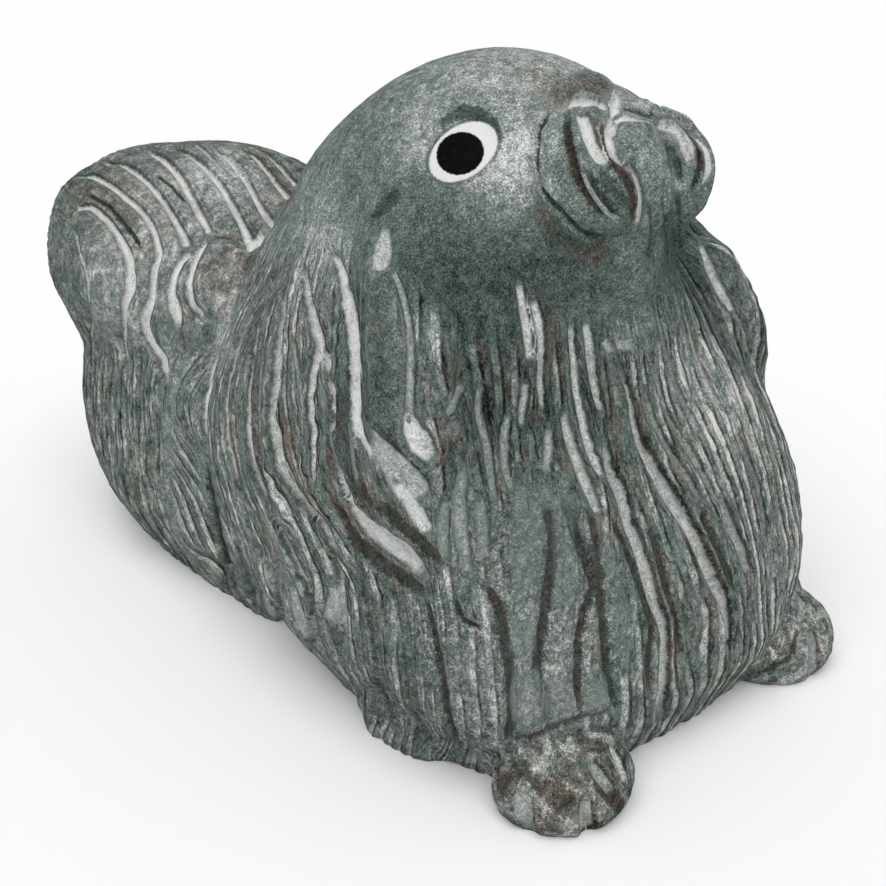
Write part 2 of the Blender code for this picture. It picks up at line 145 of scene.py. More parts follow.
# stack: at each level a squarish ring, x = w sgn(cos)|cos|^(2/n) and y likewise between front and back;
# a row holds the level, half the width, the front, the back and the squareness n
def stack(rows, around=96, levels=80):
    heights = np.linspace(rows[0][0], rows[-1][0], levels)
    half, front, back, square = (column[:, None] for column in eased(rows, heights).T)
    u = np.linspace(0, 2 * math.pi, around, endpoint=False)[None, :]
    xs = half * np.sign(np.cos(u)) * np.abs(np.cos(u)) ** (2 / square)
    ys = (front + back) / 2 + (back - front) / 2 * np.sign(np.sin(u)) * np.abs(np.sin(u)) ** (2 / square)
    rings = np.stack([xs, ys, heights[:, None] + 0 * u], axis=2)
    return closedSkin(rings, rings[0].mean(axis=0), rings[-1].mean(axis=0))


# lock of hair: balls of changing radius strung closely along a curve
def lock(points, radii, balls=18):
    run = smoothWay([tuple(point) + (radius,) for point, radius in zip(points, radii)], balls)
    ball, faces = egg((0, 0, 0), (1, 1, 1), around=16)
    spots = run[:, None, :3] + run[:, None, 3:] * ball[None]
    shifts = np.arange(balls)[:, None, None] * len(ball)
    return spots.reshape(-1, 3), (faces[None] + shifts).reshape(-1, 3)


def together(shapes):
    shifts = np.cumsum([0] + [len(points) for points, faces in shapes[:-1]])
    return (np.concatenate([points for points, faces in shapes]),
            np.concatenate([faces + shift for (points, faces), shift in zip(shapes, shifts)]))


def meshObject(name, points, faces):
    mesh = bpy.data.meshes.new(name)
    mesh.from_pydata(points.tolist(), [], faces.tolist())
    made = bpy.data.objects.new(name, mesh)
    bpy.context.scene.collection.objects.link(made)
    return made


def readVectors(values, name):
    flat = np.empty(len(values) * 3, dtype=np.float32)
    values.foreach_get(name, flat)
    return flat.reshape(-1, 3).astype(float)


# takes the modifiers' result as the object's own mesh
def settle(made):
    bpy.context.view_layer.update()
    finished = bpy.data.meshes.new_from_object(made.evaluated_get(bpy.context.evaluated_depsgraph_get()))
    made.modifiers.clear()
    made.data = finished


# melts overlapping masses into one skin and softens it like clay, then returns the melted object
def melted(name, shape, cell, passes):
    made = meshObject(name, *shape)
    remesh = made.modifiers.new("melt", "REMESH")
    remesh.mode = "VOXEL"
    remesh.voxel_size = cell
    soften = made.modifiers.new("soften", "SMOOTH")
    soften.factor = 0.5
    soften.iterations = passes
    settle(made)
    return made


# The large masses. Rows of a stack: level, half width, front, back, squareness.
masses = {
    "forebody": [(-4, 33.5, -62, 0, 3.4), (4, 38, -66, 6, 3.5), (14, 43.8, -69.5, 14, 3.6),
                 (26, 47, -69.5, 23, 3.6), (40, 46.8, -66.5, 30, 3.4), (54, 44, -61, 32, 3.0),
                 (66, 39.5, -53.5, 31, 2.5), (77, 34, -48, 30, 2.2), (87, 30, -46, 25, 2.0),
                 (96, 27, -44, 17, 2.0), (104, 21.5, -38, 7, 2.0), (110, 14, -30, -3, 2.0),
                 (113.6, 3, -20, -14, 2.0)],
    "hindquarters": [(-4, 32.5, -10, 81, 3.1), (4, 36.5, -10, 88.5, 3.1), (14, 41, -10, 92.5, 3.0),
                     (30, 43, -10, 93.5, 2.9), (46, 41.5, -10, 92, 2.7), (60, 34, -8, 82, 2.4),
                     (72, 18, 5, 62, 2.3)],
    "skull": ((0, -19.5, 88.5), (27.5, 31, 25.3)),
    "plumeTop": ((-17, 53, 64.5), (29, 38, 21), (0, -12, 6)),
    "plumeRear": ((-19, 69, 60), (25, 25, 24), (0, -12, 0)),
    "earLobe": [(-25, -19, 90), (-30.5, -28.5, 80), (-34.5, -35.8, 70), (-37.5, -40, 61), (-39, -44, 55)],
    "earLobeRadii": [5, 7, 8.2, 8, 5],
    "cell": 1.6, "passes": 30,
}

# The features that stay crisp. Moustache strands are measured from the middle of the
# muzzle, for the dog's left; ear locks are on its right and are mirrored.
features = {
    "paws": [((-26.4, -64.0, 5.0), (12.8, 12.6, 9.4)), ((34.0, -59.0, 5.0), (12.8, 12.6, 9.4))],
    "forelegs": [((-29.0, -46, 10.5), (13, 14, 12)), ((33.6, -51.5, 9.5), (12.2, 13, 11.5))],
    "elbows": [((-33.5, -35.5, 5.0), (9.6, 12.5, 8.5)), ((35.5, -36.0, 5.0), (8.6, 12.0, 8.0))],
    "face": ((0.5, -37.5, 96), (18, 14.5, 15), (-30, 0, 0)),
    "throat": ((1, -41, 86), (12, 10, 16), (-8, 0, 0)),
    "mouth": ((1.2, -46, 98), (7, 7.4, 11), (-26, 0, 0)),
    "nose": ((-1.6, -39, 109), (6.2, 5, 4.2), (-18, 10, 0)),
    "muzzleMiddle": 1.2, "muzzleRoll": 0.5,
    "moustache": [
        ([(5.7, -43.5, 108.4), (9, -48.7, 105.4), (8.8, -52, 100.8), (7, -52.8, 96), (6.6, -51, 91.6)], 2.3),
        ([(8.7, -42, 108), (12.8, -47.3, 104.8), (12.9, -50.2, 100.2), (11, -51.8, 95.2), (9, -50.8, 91.4)],
         2.4),
        ([(12.2, -42.6, 106.4), (15.6, -44.4, 102.6), (15.6, -46.8, 97.8), (13.6, -49.2, 93.4),
          (11, -49.6, 90.4)], 2.5)],
    "earLocks": [([(-33, -17, 78), (-37, -22.5, 68), (-40.5, -28, 58.5), (-42.3, -34, 51),
                   (-41.5, -42, 48), (-39, -49, 45.5)], [1.8, 3, 3.6, 3.8, 3.4, 1.8]),
                 ([(-36, -12, 70), (-40.5, -17, 59), (-43.5, -23.5, 48), (-44.6, -31, 40.5),
                   (-43.6, -40, 37.5), (-41, -48, 37.5)], [1.8, 3, 3.5, 3.6, 3.2, 1.8]),
                 ([(-36, -3, 70), (-41, -7, 57), (-44.5, -13, 44), (-46, -19.5, 33), (-45.6, -27, 27.5),
                   (-44.5, -34, 27)], [1.6, 2.8, 3.2, 3.2, 2.8, 1.5])],
    "cell": 0.52, "passes": 4,
}


def flipped(points, side):
    return [(-side * x, y, z) for x, y, z in points]


def makeBase():
    shapes = [stack(masses["forebody"]), stack(masses["hindquarters"]), egg(*masses["skull"]),
              egg(*masses["plumeTop"]), egg(*masses["plumeRear"])]
    shapes += [lock(flipped(masses["earLobe"], side), masses["earLobeRadii"]) for side in (-1, 1)]
    soft = melted("masses", together(shapes), masses["cell"], masses["passes"])
    soft.data.calc_loop_triangles()
    corners = np.empty(len(soft.data.loop_triangles) * 3, dtype=np.int32)
    soft.data.loop_triangles.foreach_get("vertices", corners)
    shapes = [(readVectors(soft.data.vertices, "co"), corners.reshape(-1, 3))]
    bpy.data.objects.remove(soft)
    shapes += [egg(*limb) for limb in features["paws"] + features["forelegs"] + features["elbows"]]
    shapes += [egg(*features[name]) for name in ("face", "throat", "mouth", "nose")]
    middle, roll = features["muzzleMiddle"], features["muzzleRoll"]
    for side in (-1, 1):
        for points, radius in features["moustache"]:
            strand = [(middle + side * x, y, z - roll * (1 + side)) for x, y, z in points]
            shapes.append(lock(strand, [radius * share for share in (0.6, 1.0, 1.1, 1.0, 0.6)]))
        for points, radii in features["earLocks"]:
            shapes.append(lock(flipped(points, side), radii))
    return melted("casting", together(shapes), features["cell"], features["passes"])


casting = makeBase()
rest = readVectors(casting.data.vertices, "co")
normals = readVectors(casting.data.vertices, "normal")
print("base skin:", len(rest), "points")

# Grooves and crevices as they are seen in the photograph, each a way in its pixels, which
# is cast on the skin from the camera. Then come the full width in millimetres, which may
# change along the way, the depth, how pale the bottom is, and how dark the painted shade is,
# on the walls beside a pale groove or in a dark crevice.
plumeGrooves = {
    "plumeCoil": ([(66, 228), (72, 212), (85, 205), (103, 218), (118, 240), (127, 262), (128, 285),
                   (121, 310), (121, 335), (127, 375)], [0.5, 0.9, 1.0, 1.1, 1.3, 2.2, 2.4, 1.2, 1.0,
                                                         0.8], 1.5, 1.0, 0.8),
    "plumeOuter": ([(60, 238), (70, 262), (76, 290), (80, 315)], [0.4, 0.6, 0.6, 0.4], 0.8, 0.5, 0.6),
    "plumeBack": ([(71, 228), (76, 250), (83, 272), (86, 300), (87, 340), (91, 375)],
                  [0.5, 0.8, 0.8, 0.7, 0.6, 0.5], 1.0, 0.8, 0.8),
    "plumeRibB": ([(76, 181), (90, 175), (105, 181), (122, 194), (142, 213), (153, 235), (156, 252),
                   (151, 275), (149, 300), (142, 322), (148, 342), (161, 362), (166, 395)],
                  [0.7, 0.9, 0.9, 1.0, 1.0, 1.1, 1.2, 1.2, 1.3, 2.2, 2.4, 1.8, 0.9], 1.6, 1.0, 0.8),
    "plumeRibC": ([(102, 161), (118, 161), (133, 169), (153, 188), (168, 210), (178, 228), (187, 248)],
                  [0.7, 0.9, 1.0, 1.0, 1.0, 1.1, 1.6], 1.6, 0.95, 0.8),
    "plumeFallC": ([(190, 250), (178, 262), (172, 276), (169, 293), (173, 310), (177, 328)],
                   [1.2, 1.1, 1.3, 1.6, 2.6, 1.3], 1.5, 1.0, 0.8),
    "plumeRibD": ([(147, 148), (160, 155), (175, 170), (187, 190), (196, 208), (204, 222), (208, 232)],
                  [0.8, 1.1, 1.2, 1.2, 1.2, 1.2, 1.0], 1.6, 1.0, 0.8),
    "plumeFallD": ([(206, 236), (198, 250), (191, 265), (187, 285), (189, 302), (203, 321)],
                   [0.8, 1.0, 1.1, 1.2, 1.2, 0.8], 1.6, 1.0, 0.8),
    "plumeRibE": ([(170, 145), (186, 150), (205, 165), (220, 183), (232, 204), (242, 224), (247, 240),
                   (247, 252)], [0.6, 0.9, 1.0, 1.1, 1.1, 1.1, 1.6, 1.6], 1.6, 1.0, 0.8),
    "plumeHalfE": ([(195, 142), (207, 152), (217, 163), (227, 174)], [0.5, 0.8, 0.7, 0.4], 0.8, 0.7, 0.6),
    "plumeRibF": ([(213, 147), (228, 156), (243, 173), (256, 196), (264, 212), (272, 226)],
                  [0.6, 0.9, 0.9, 0.9, 1.1, 1.2], 1.5, 1.0, 0.8),
    "plumeHalfF": ([(228, 152), (240, 164), (249, 178)], [0.4, 0.7, 0.4], 0.7, 0.6, 0.5),
    "plumeRibG": ([(238, 145), (252, 151), (265, 164), (278, 181), (289, 196)], [0.5, 0.8, 0.9, 1.0, 1.3],
                  1.5, 0.95, 0.8),
    "plumeRibH": ([(249, 143), (265, 149), (280, 163), (298, 183)], [0.6, 0.9, 1.1, 1.0], 1.4, 0.9, 0.8),
    "plumeRibI": ([(268, 144), (283, 154), (300, 170)], [0.4, 0.7, 0.6], 1.0, 0.5, 0.4),
    "plumeValley": ([(246, 243), (256, 241), (268, 232)], [1.8, 2.6, 1.4], 1.2, 1.0, 0.2),
    "plumeStep": ([(188, 252), (198, 243), (212, 238), (230, 240), (245, 246)], [0.9, 0.9, 0.6, 0.6, 0.9],
                  1.0, 0.35, 0.5),
    "plumeDarkA": ([(88, 194), (105, 203), (122, 221), (140, 246)], [0.5, 0.8, 0.8, 0.5], 0.8, 0.0, 0.9),
    "plumeDarkB": ([(158, 175), (172, 186), (184, 200)], [0.5, 0.7, 0.5], 0.6, 0.0, 0.8),
}
coatGrooves = {
    "capeRear": ([(258, 268), (240, 300), (222, 335), (209, 380), (203, 415), (207, 450), (218, 490),
                  (232, 530), (245, 570), (252, 592), (256, 610)], [0.4, 0.6, 1.1, 1.4, 1.4, 1.2, 1.1,
                                                                    1.0, 1.0, 0.9, 0.9],
                 [1.2, 1.4, 1.6, 1.6, 1.6, 1.8, 2.2, 2.6, 2.8, 3.0, 3.0], 0.95, 0.6),
    "capeSecond": ([(283, 252), (264, 290), (244, 325), (231, 365), (224, 402), (226, 440), (235, 478),
                    (241, 505), (252, 540), (270, 575), (277, 602), (281, 625), (283, 645)],
                   [0.4, 0.7, 1.1, 1.4, 1.5, 1.3, 1.2, 1.1, 1.1, 1.1, 0.9, 0.9, 0.9],
                   [1.4, 1.8, 1.9, 1.9, 1.9, 2.0, 2.2, 2.4, 2.8, 3.0, 3.2, 3.2, 3.2], 0.95, 0.7),
    "capeThird": ([(268, 292), (257, 322), (250, 360), (246, 400), (245, 435), (251, 468), (262, 498),
                   (276, 530), (292, 560), (303, 585), (309, 606), (310, 630), (309, 655)],
                  [0.4, 0.8, 0.9, 1.3, 1.3, 1.1, 1.0, 0.9, 0.8, 0.9, 0.8, 0.9, 0.9],
                  [1.4, 1.6, 1.8, 1.9, 1.9, 2.0, 2.2, 2.4, 2.6, 2.8, 3.0, 3.2, 3.2], 0.8, 0.8),
    "capeFourth": ([(302, 214), (294, 245), (285, 278), (279, 312), (275, 345), (273, 380), (268, 412),
                    (274, 440), (279, 466), (291, 490), (307, 510), (322, 530), (331, 552), (338, 585),
                    (341, 625), (343, 665)], [0.5, 0.7, 0.8, 1.1, 1.4, 1.2, 1.4, 1.6, 1.4, 1.2, 1.2, 1.3,
                                              0.9, 0.8, 0.9, 0.9], 2.2, 0.8, 0.8),
    # its dark is painted shadow in the notch under the haunch
    "capeEdge": ([(206, 465), (212, 505), (219, 540), (225, 570), (228, 590)], [0.8, 1.2, 1.6, 2.6, 3.0],
                 [0.8, 1.6, 2.4, 4.2, 4.8], 0.0, 0.75),
    "hemD": ([(352, 560), (366, 600), (374, 640), (378, 690), (379, 725)], [0.6, 0.9, 1.0, 1.0, 1.0], 1.8,
             0.25, 0.7),
    "hemE": ([(392, 575), (402, 620), (408, 670), (413, 720), (415, 755)], [0.6, 0.9, 1.0, 1.0, 1.0], 1.5,
             0.25, 0.7),
    "hemF": ([(425, 600), (436, 650), (444, 700), (450, 750)], [0.5, 0.8, 0.9, 0.9], 1.2, 0.2, 0.7),
    "capeFork": ([(302, 268), (304, 292), (312, 322), (318, 345), (312, 368), (309, 400), (312, 440),
                  (311, 490)], [0.8, 1.0, 1.3, 1.5, 0.9, 0.7, 0.7, 0.5], 1.6, 0.85, 0.9),
    "lockSecond": ([(320, 348), (328, 372), (330, 405), (331, 440), (336, 470), (345, 496), (362, 520),
                    (385, 540), (405, 556), (424, 576)], [1.0, 1.3, 1.5, 1.5, 1.4, 1.9, 2.7, 3.1, 2.4,
                                                          1.1], 2.4, 1.0, 0.8),
    "lockFirst": ([(330, 252), (339, 272), (345, 296), (352, 323), (356, 350), (357, 385), (357, 415),
                   (363, 440), (372, 462)], [0.6, 1.1, 1.5, 1.5, 1.5, 1.7, 1.5, 1.8, 2.4],
                  [1.4, 1.6, 1.2, 0.7, 0.5, 0.5, 0.5, 0.8, 1.2], 1.0, 0.7),
    "lockRecess": ([(367, 436), (378, 455), (394, 476), (410, 490), (420, 500)],
                   [2.6, 5.2, 6.6, 5.4, 3.4], 1.4, 0.66, 0.5),
    "lockFirstTail": ([(395, 485), (412, 508), (428, 532)], [3.4, 2.4, 1.2], 1.2, 1.0, 0.4),
    "lobeFront": ([(392, 268), (402, 292), (409, 325), (411, 360), (410, 392), (409, 420)],
                  [0.5, 0.7, 0.7, 0.8, 0.8, 0.9], 1.0, 0.6, 0.6),
    "lobeRecess": ([(408, 412), (412, 428), (421, 444), (433, 459)], [0.9, 2.4, 3.2, 1.4], 1.1, 0.85,
                   0.6),
    # painted shadow under the tip of the ear lobe
    "lobeTip": ([(388, 440), (399, 456), (413, 470), (428, 480)], [0.8, 1.4, 1.4, 0.7], 0.3, 0.0, 0.7),
    "earRoot": ([(384, 226), (382, 242), (380, 258), (376, 270)], [0.8, 2.4, 3.2, 2.4], 1.2, 0.7, 0.3),
    "earShadow": ([(400, 193), (386, 203), (372, 220)], [1.6, 2.6, 1.6], 0.3, 0.0, 0.7),
    "napeFineA": ([(306, 212), (290, 240), (277, 268), (262, 300)], [0.3, 0.5, 0.5, 0.3], 0.5, 0.6, 0.4),
    "napeFineB": ([(316, 225), (304, 250), (297, 280), (292, 310)], [0.3, 0.5, 0.5, 0.4], 0.5, 0.6, 0.4),
    "napeFineC": ([(286, 222), (272, 250), (258, 280)], [0.3, 0.5, 0.3], 0.5, 0.6, 0.4),
    "flankFineA": ([(262, 345), (259, 380), (258, 420), (262, 455)], [0.3, 0.5, 0.5, 0.3], 0.6, 0.4, 0.6),
    "flankFineB": ([(291, 340), (296, 375), (300, 410), (299, 450)], [0.4, 0.7, 0.6, 0.4], 0.7, 0.55,
                   0.5),
    "flankFineC": ([(218, 380), (215, 410), (219, 450), (228, 480)], [0.3, 0.5, 0.5, 0.3], 0.6, 0.4, 0.6),
    "flankFineD": ([(234, 390), (236, 420), (240, 455), (247, 485)], [0.3, 0.5, 0.5, 0.3], 0.6, 0.4, 0.6),
    "flankFineE": ([(350, 420), (352, 450), (356, 480)], [0.4, 0.6, 0.4], 0.5, 0.4, 0.5),
    "hemLockA": ([(291, 586), (298, 612), (301, 636)], [1.6, 3.4, 3.2], 0.4, 0.62, 0.9),
    "hemLockB": ([(331, 586), (333, 606), (329, 622)], [1.6, 2.8, 2.0], 0.4, 0.62, 0.9),
    "hemLockC": ([(260, 582), (268, 602), (273, 618)], [1.2, 2.4, 1.8], 0.4, 0.6, 0.9),
    "lockSecondDark": ([(337, 505), (352, 535), (376, 560), (402, 578), (424, 593)],
                       [1.0, 1.8, 2.2, 2.2, 1.2], 0.8, 0.0, 0.75),
    "lockBetween": ([(341, 385), (343, 420), (347, 455), (358, 488), (374, 514)],
                    [1.6, 2.4, 2.6, 2.4, 1.2], 0.5, 0.0, 0.5),
    "lockTailDark": ([(378, 502), (398, 522), (420, 542), (441, 562)], [1.0, 1.8, 1.6, 0.8], 0.8, 0.0,
                     0.75),
}
bibGrooves = {
    "bibA": ([(519, 284), (523, 308), (528, 335), (530, 360)], [0.8, 1.0, 1.2, 0.9], 0.9, 0.8, 0.5),
    "bibAlow": ([(526, 383), (524, 402), (521, 424)], [0.9, 0.9, 0.6], 0.8, 0.6, 0.5),
    "bibB": ([(533, 300), (539, 322), (542, 350), (541, 380), (543, 408)], [0.9, 1.1, 0.9, 0.9, 0.6], 0.9,
             0.75, 0.5),
    "bibC": ([(572, 322), (574, 350), (577, 382), (582, 412), (589, 440), (597, 462), (606, 477)],
             [0.8, 0.9, 1.1, 1.1, 1.2, 1.4, 0.8], 1.3, 0.8, 0.6),
    "bibD": ([(587, 322), (591, 348), (595, 378), (603, 412)], [1.0, 1.5, 1.2, 0.9], 1.2, 0.75, 0.6),
    "bibE": ([(564, 412), (570, 438), (579, 465), (590, 492), (600, 515)], [0.8, 1.4, 1.4, 1.3, 0.9], 1.2,
             0.75, 0.5),
    "bibF": ([(605, 340), (612, 352)], [1.0, 1.2], 0.8, 0.7, 0.4),
    "bibFblot": ([(616, 345), (634, 344)], [1.5, 1.5], 0.5, 0.65, 0.2),
    "bibG": ([(463, 385), (455, 402), (448, 415)], [0.9, 1.2, 0.8], 0.8, 0.55, 0.4),
    "bibH": ([(481, 385), (479, 410), (486, 440), (490, 470), (494, 500)], [0.7, 0.9, 1.0, 0.9, 0.7], 0.8,
             0.5, 0.5),
    "bibI": ([(508, 415), (504, 440), (505, 465), (512, 490)], [0.7, 1.0, 1.0, 0.7], 0.8, 0.55, 0.5),
    "bibJ": ([(549, 428), (549, 450), (546, 472)], [0.9, 1.2, 1.0], 0.8, 0.6, 0.5),
    "bibK": ([(616, 385), (620, 405)], [0.8, 0.8], 0.7, 0.5, 0.4),
    "furrowNear": ([(606, 438), (613, 468), (623, 497), (630, 524), (641, 552), (650, 580), (657, 605),
                    (666, 632), (666, 660), (664, 690), (662, 722)], [0.8, 1.1, 1.9, 1.7, 1.7, 1.9, 1.5,
                                                                      1.3, 1.8, 1.4, 0.9], 2.0, 0.78,
                   0.9),
    "furrowFar": ([(621, 366), (632, 392), (637, 422), (644, 445), (656, 470), (672, 497), (689, 524),
                   (703, 552), (716, 582), (727, 606), (731, 632), (730, 664)],
                  [0.6, 0.9, 1.1, 1.4, 1.9, 2.4, 2.2, 2.1, 1.8, 1.3, 0.9, 0.6], 2.2, 0.78, 1.0),
    "sideFurrow": ([(722, 497), (731, 525), (742, 550), (750, 574)], [0.7, 1.5, 1.5, 0.9], 1.3, 0.6, 0.9),
    "bibRightA": ([(645, 388), (653, 415), (666, 442), (684, 470), (702, 500)], [0.5, 0.8, 0.9, 0.9, 0.5],
                  1.0, 0.5, 0.7),
    "bibRightB": ([(655, 370), (662, 392), (672, 418), (690, 447), (708, 478), (722, 506)],
                  [0.7, 0.8, 0.7, 0.8, 0.8, 0.5], 1.0, 0.5, 0.7),
    "bibRightC": ([(684, 296), (689, 325), (697, 352), (706, 378), (722, 408)], [0.5, 0.8, 0.7, 0.6, 0.4],
                  0.8, 0.75, 0.5),
    "bibRightD": ([(656, 292), (660, 322), (668, 352), (678, 384), (694, 420)], [0.5, 0.6, 0.7, 0.6, 0.4],
                  0.8, 0.4, 0.5),
    "bibRightE": ([(738, 430), (752, 462), (763, 500), (768, 540)], [0.4, 0.7, 0.7, 0.5], 0.9, 0.4, 0.7),
    "farCheekA": ([(702, 243), (710, 265), (722, 292), (733, 312)], [0.8, 1.4, 1.5, 0.8], 1.0, 0.8, 0.4),
    "farCheekB": ([(733, 312), (745, 330), (750, 352)], [0.4, 0.5, 0.3], 0.8, 0.5, 0.4),
    "bottomPaleA": ([(524, 622), (524, 656)], [4.0, 4.2], 0.15, 0.4, 0.3),
    "bottomPaleB": ([(528, 672), (527, 700), (528, 726)], [4.0, 5.2, 4.4], 0.15, 0.48, 0.3),
    "bottomPaleC": ([(562, 680), (561, 700), (560, 716)], [4.0, 5.0, 4.4], 0.15, 0.46, 0.3),
    "bottomPaleD": ([(598, 680), (599, 696), (600, 708)], [3.6, 4.6, 4.0], 0.15, 0.44, 0.3),
    "bottomPaleE": ([(530, 482), (529, 520), (527, 560), (524, 600)], [5.0, 5.0, 4.2, 3.6], 0.15, 0.32,
                    0.2),
    "bottomPaleF": ([(561, 490), (566, 530), (567, 570), (564, 610)], [3.6, 3.8, 3.6, 3.2], 0.15, 0.28,
                    0.2),
    "bottomPaleG": ([(604, 545), (616, 580), (622, 620), (626, 660)], [2.4, 2.6, 2.6, 2.4], 0.15, 0.26,
                    0.2),
    "bibM": ([(463, 470), (459, 505), (462, 540), (468, 575)], [1.2, 1.6, 1.6, 1.0], 0.5, 0.5, 0.4),
    "bibN": ([(480, 500), (482, 530), (484, 560)], [1.2, 1.4, 1.0], 0.5, 0.5, 0.4),
    "bibO": ([(446, 500), (442, 530), (444, 560)], [1.0, 1.4, 1.0], 0.5, 0.45, 0.4),
    # crevices: painted shade between the hanging lock ends
    "creviceA": ([(455, 600), (463, 620), (480, 628)], [0.5, 0.7, 0.4], 0.8, 0.0, 0.9),
    "creviceB": ([(487, 586), (500, 612), (506, 645), (511, 680), (513, 712), (507, 745)],
                 [0.8, 1.4, 1.5, 1.5, 1.5, 1.2], 1.3, 0.0, 0.72),
    "creviceC": ([(545, 503), (553, 532), (552, 565), (547, 595), (545, 622), (539, 650), (538, 672),
                  (546, 698), (547, 724)], [1.0, 1.4, 1.4, 1.4, 1.5, 1.4, 1.4, 1.4, 1.2], 1.2, 0.0, 0.72),
    "creviceD": ([(566, 498), (576, 528), (587, 560), (595, 586), (586, 612), (580, 645), (579, 680),
                  (583, 712)], [1.0, 1.2, 1.4, 1.5, 1.2, 1.2, 1.4, 1.0], 1.2, 0.0, 0.72),
    "creviceE": ([(590, 510), (597, 540), (600, 575), (603, 612), (607, 650), (610, 680), (617, 706)],
                 [0.8, 1.0, 1.2, 1.4, 1.4, 1.2, 0.8], 1.1, 0.0, 0.72),
    "creviceF": ([(614, 520), (627, 548), (638, 578), (648, 605), (654, 630), (650, 662), (652, 695)],
                 [0.7, 0.8, 1.0, 1.2, 1.0, 1.0, 0.7], 1.0, 0.0, 0.72),
    "creviceG": ([(651, 530), (661, 560), (668, 590), (679, 622), (683, 650)], [1.0, 1.2, 1.0, 0.8, 0.7],
                 1.0, 0.0, 0.72),
    "creviceH": ([(702, 512), (716, 540), (729, 570), (738, 592)], [1.0, 1.4, 1.4, 0.8], 1.2, 0.0, 0.72),
}
muzzleGrooves = {
    # painted shade above the eye, under the brow
    "lid": ([(440, 126), (452, 116), (467, 111), (482, 115), (494, 126), (500, 142)],
            [0.9, 1.7, 2.2, 2.0, 1.5, 0.8], 0.1, 0.0, 0.74),
    "muzzleEdge": ([(549, 112), (540, 128), (536, 147), (535, 165), (537, 182), (546, 198), (559, 210),
                    (570, 222), (585, 234), (604, 239)], [0.3, 0.4, 0.5, 0.6, 0.6, 0.7, 0.7, 0.6, 0.5,
                                                          0.3], 1.0, 0.0, 0.9),
    "band": ([(567, 113), (566, 130), (569, 151), (576, 178), (590, 199), (606, 218)],
             [0.9, 1.3, 1.5, 1.5, 1.3, 0.8], 1.1, 0.0, 0.95),
    "strandLow": ([(601, 170), (610, 186), (622, 202), (634, 214)], [0.5, 0.8, 0.8, 0.4], 0.6, 0.0, 0.5),
    "bandPale": ([(577, 112), (583, 118), (587, 130), (590, 141), (596, 153), (606, 165)],
                 [0.6, 1.0, 1.2, 1.35, 1.15, 0.6], 1.1, 1.0, 0.6),
    "fold": ([(592, 172), (596, 184), (603, 196), (612, 208), (618, 216)], [0.5, 0.9, 1.0, 0.9, 0.5], 0.8,
             0.0, 0.95),
    "foldPale": ([(582, 172), (588, 187), (597, 201), (609, 213), (620, 221)], [0.5, 0.7, 0.8, 0.7, 0.4],
                 0.5, 0.62, 0.3),
    "seam": ([(618, 113), (613, 124), (611, 136), (613, 151), (620, 159), (629, 167), (637, 182),
              (641, 201), (640, 214), (637, 228)], [1.2, 1.2, 1.4, 1.2, 0.7, 0.6, 0.6, 0.6, 0.6, 0.5],
             1.5, 1.0, 0.3),
    "noseUnder": ([(559, 114), (565, 107), (574, 102), (588, 101), (600, 103), (610, 108)],
                  [0.5, 0.6, 0.8, 0.9, 0.8, 0.8], 1.1, 1.0, 0.2),
    "noseNotch": ([(613, 83), (618, 96), (616, 108), (617, 118)], [0.8, 1.3, 1.2, 1.2], 1.4, 1.0, 0.2),
    "nosePale": ([(572, 97), (582, 95), (592, 96), (602, 99)], [0.3, 0.8, 0.8, 0.4], 0.2, 0.5, 0.3),
    "curlDark": ([(602, 124), (606, 140), (613, 158), (623, 174), (632, 190), (635, 206), (632, 220)],
                 [0.4, 0.8, 1.0, 1.2, 1.3, 1.0, 0.5], 0.3, 0.0, 0.8),
    "chinA": ([(649, 203), (652, 231), (649, 256)], [0.3, 0.5, 0.3], 0.4, 0.0, 0.5),
    "chinB": ([(663, 196), (666, 228), (669, 256)], [0.3, 0.5, 0.3], 0.4, 0.0, 0.5),
    "chinC": ([(677, 192), (679, 221), (682, 250)], [0.3, 0.5, 0.3], 0.4, 0.0, 0.5),
    "puffTop": ([(617, 119), (624, 116), (633, 117), (645, 118), (656, 121)], [0.9, 0.8, 0.6, 0.5, 0.6],
                1.0, 1.0, 0.2),
    "puffFar": ([(659, 121), (670, 125), (680, 134), (687, 147), (690, 162)], [0.9, 1.7, 2.1, 2.1, 1.0],
                1.0, 0.8, 0.3),
    "puffFarLow": ([(668, 142), (671, 152), (677, 164), (679, 180)], [0.4, 0.7, 0.7, 0.4], 0.6, 0.0, 0.6),
    "farRing": ([(692, 128), (699, 138), (703, 150), (703, 163), (699, 178), (694, 190)],
                [0.8, 1.3, 1.4, 1.4, 1.2, 0.7], 1.0, 0.0, 0.95),
    "farSliver": ([(702, 135), (707, 143), (710, 153), (710, 167), (706, 178), (701, 186)],
                  [0.5, 0.8, 1.0, 1.0, 0.8, 0.4], 0.7, 0.9, 0.2),
    "browFar": ([(631, 101), (641, 102), (652, 106)], [0.5, 0.9, 0.5], 0.5, 0.7, 0.2),
    "farLump": ([(625, 108), (640, 111), (655, 114)], [0.5, 0.9, 0.6], 0.6, 0.0, 0.7),
}
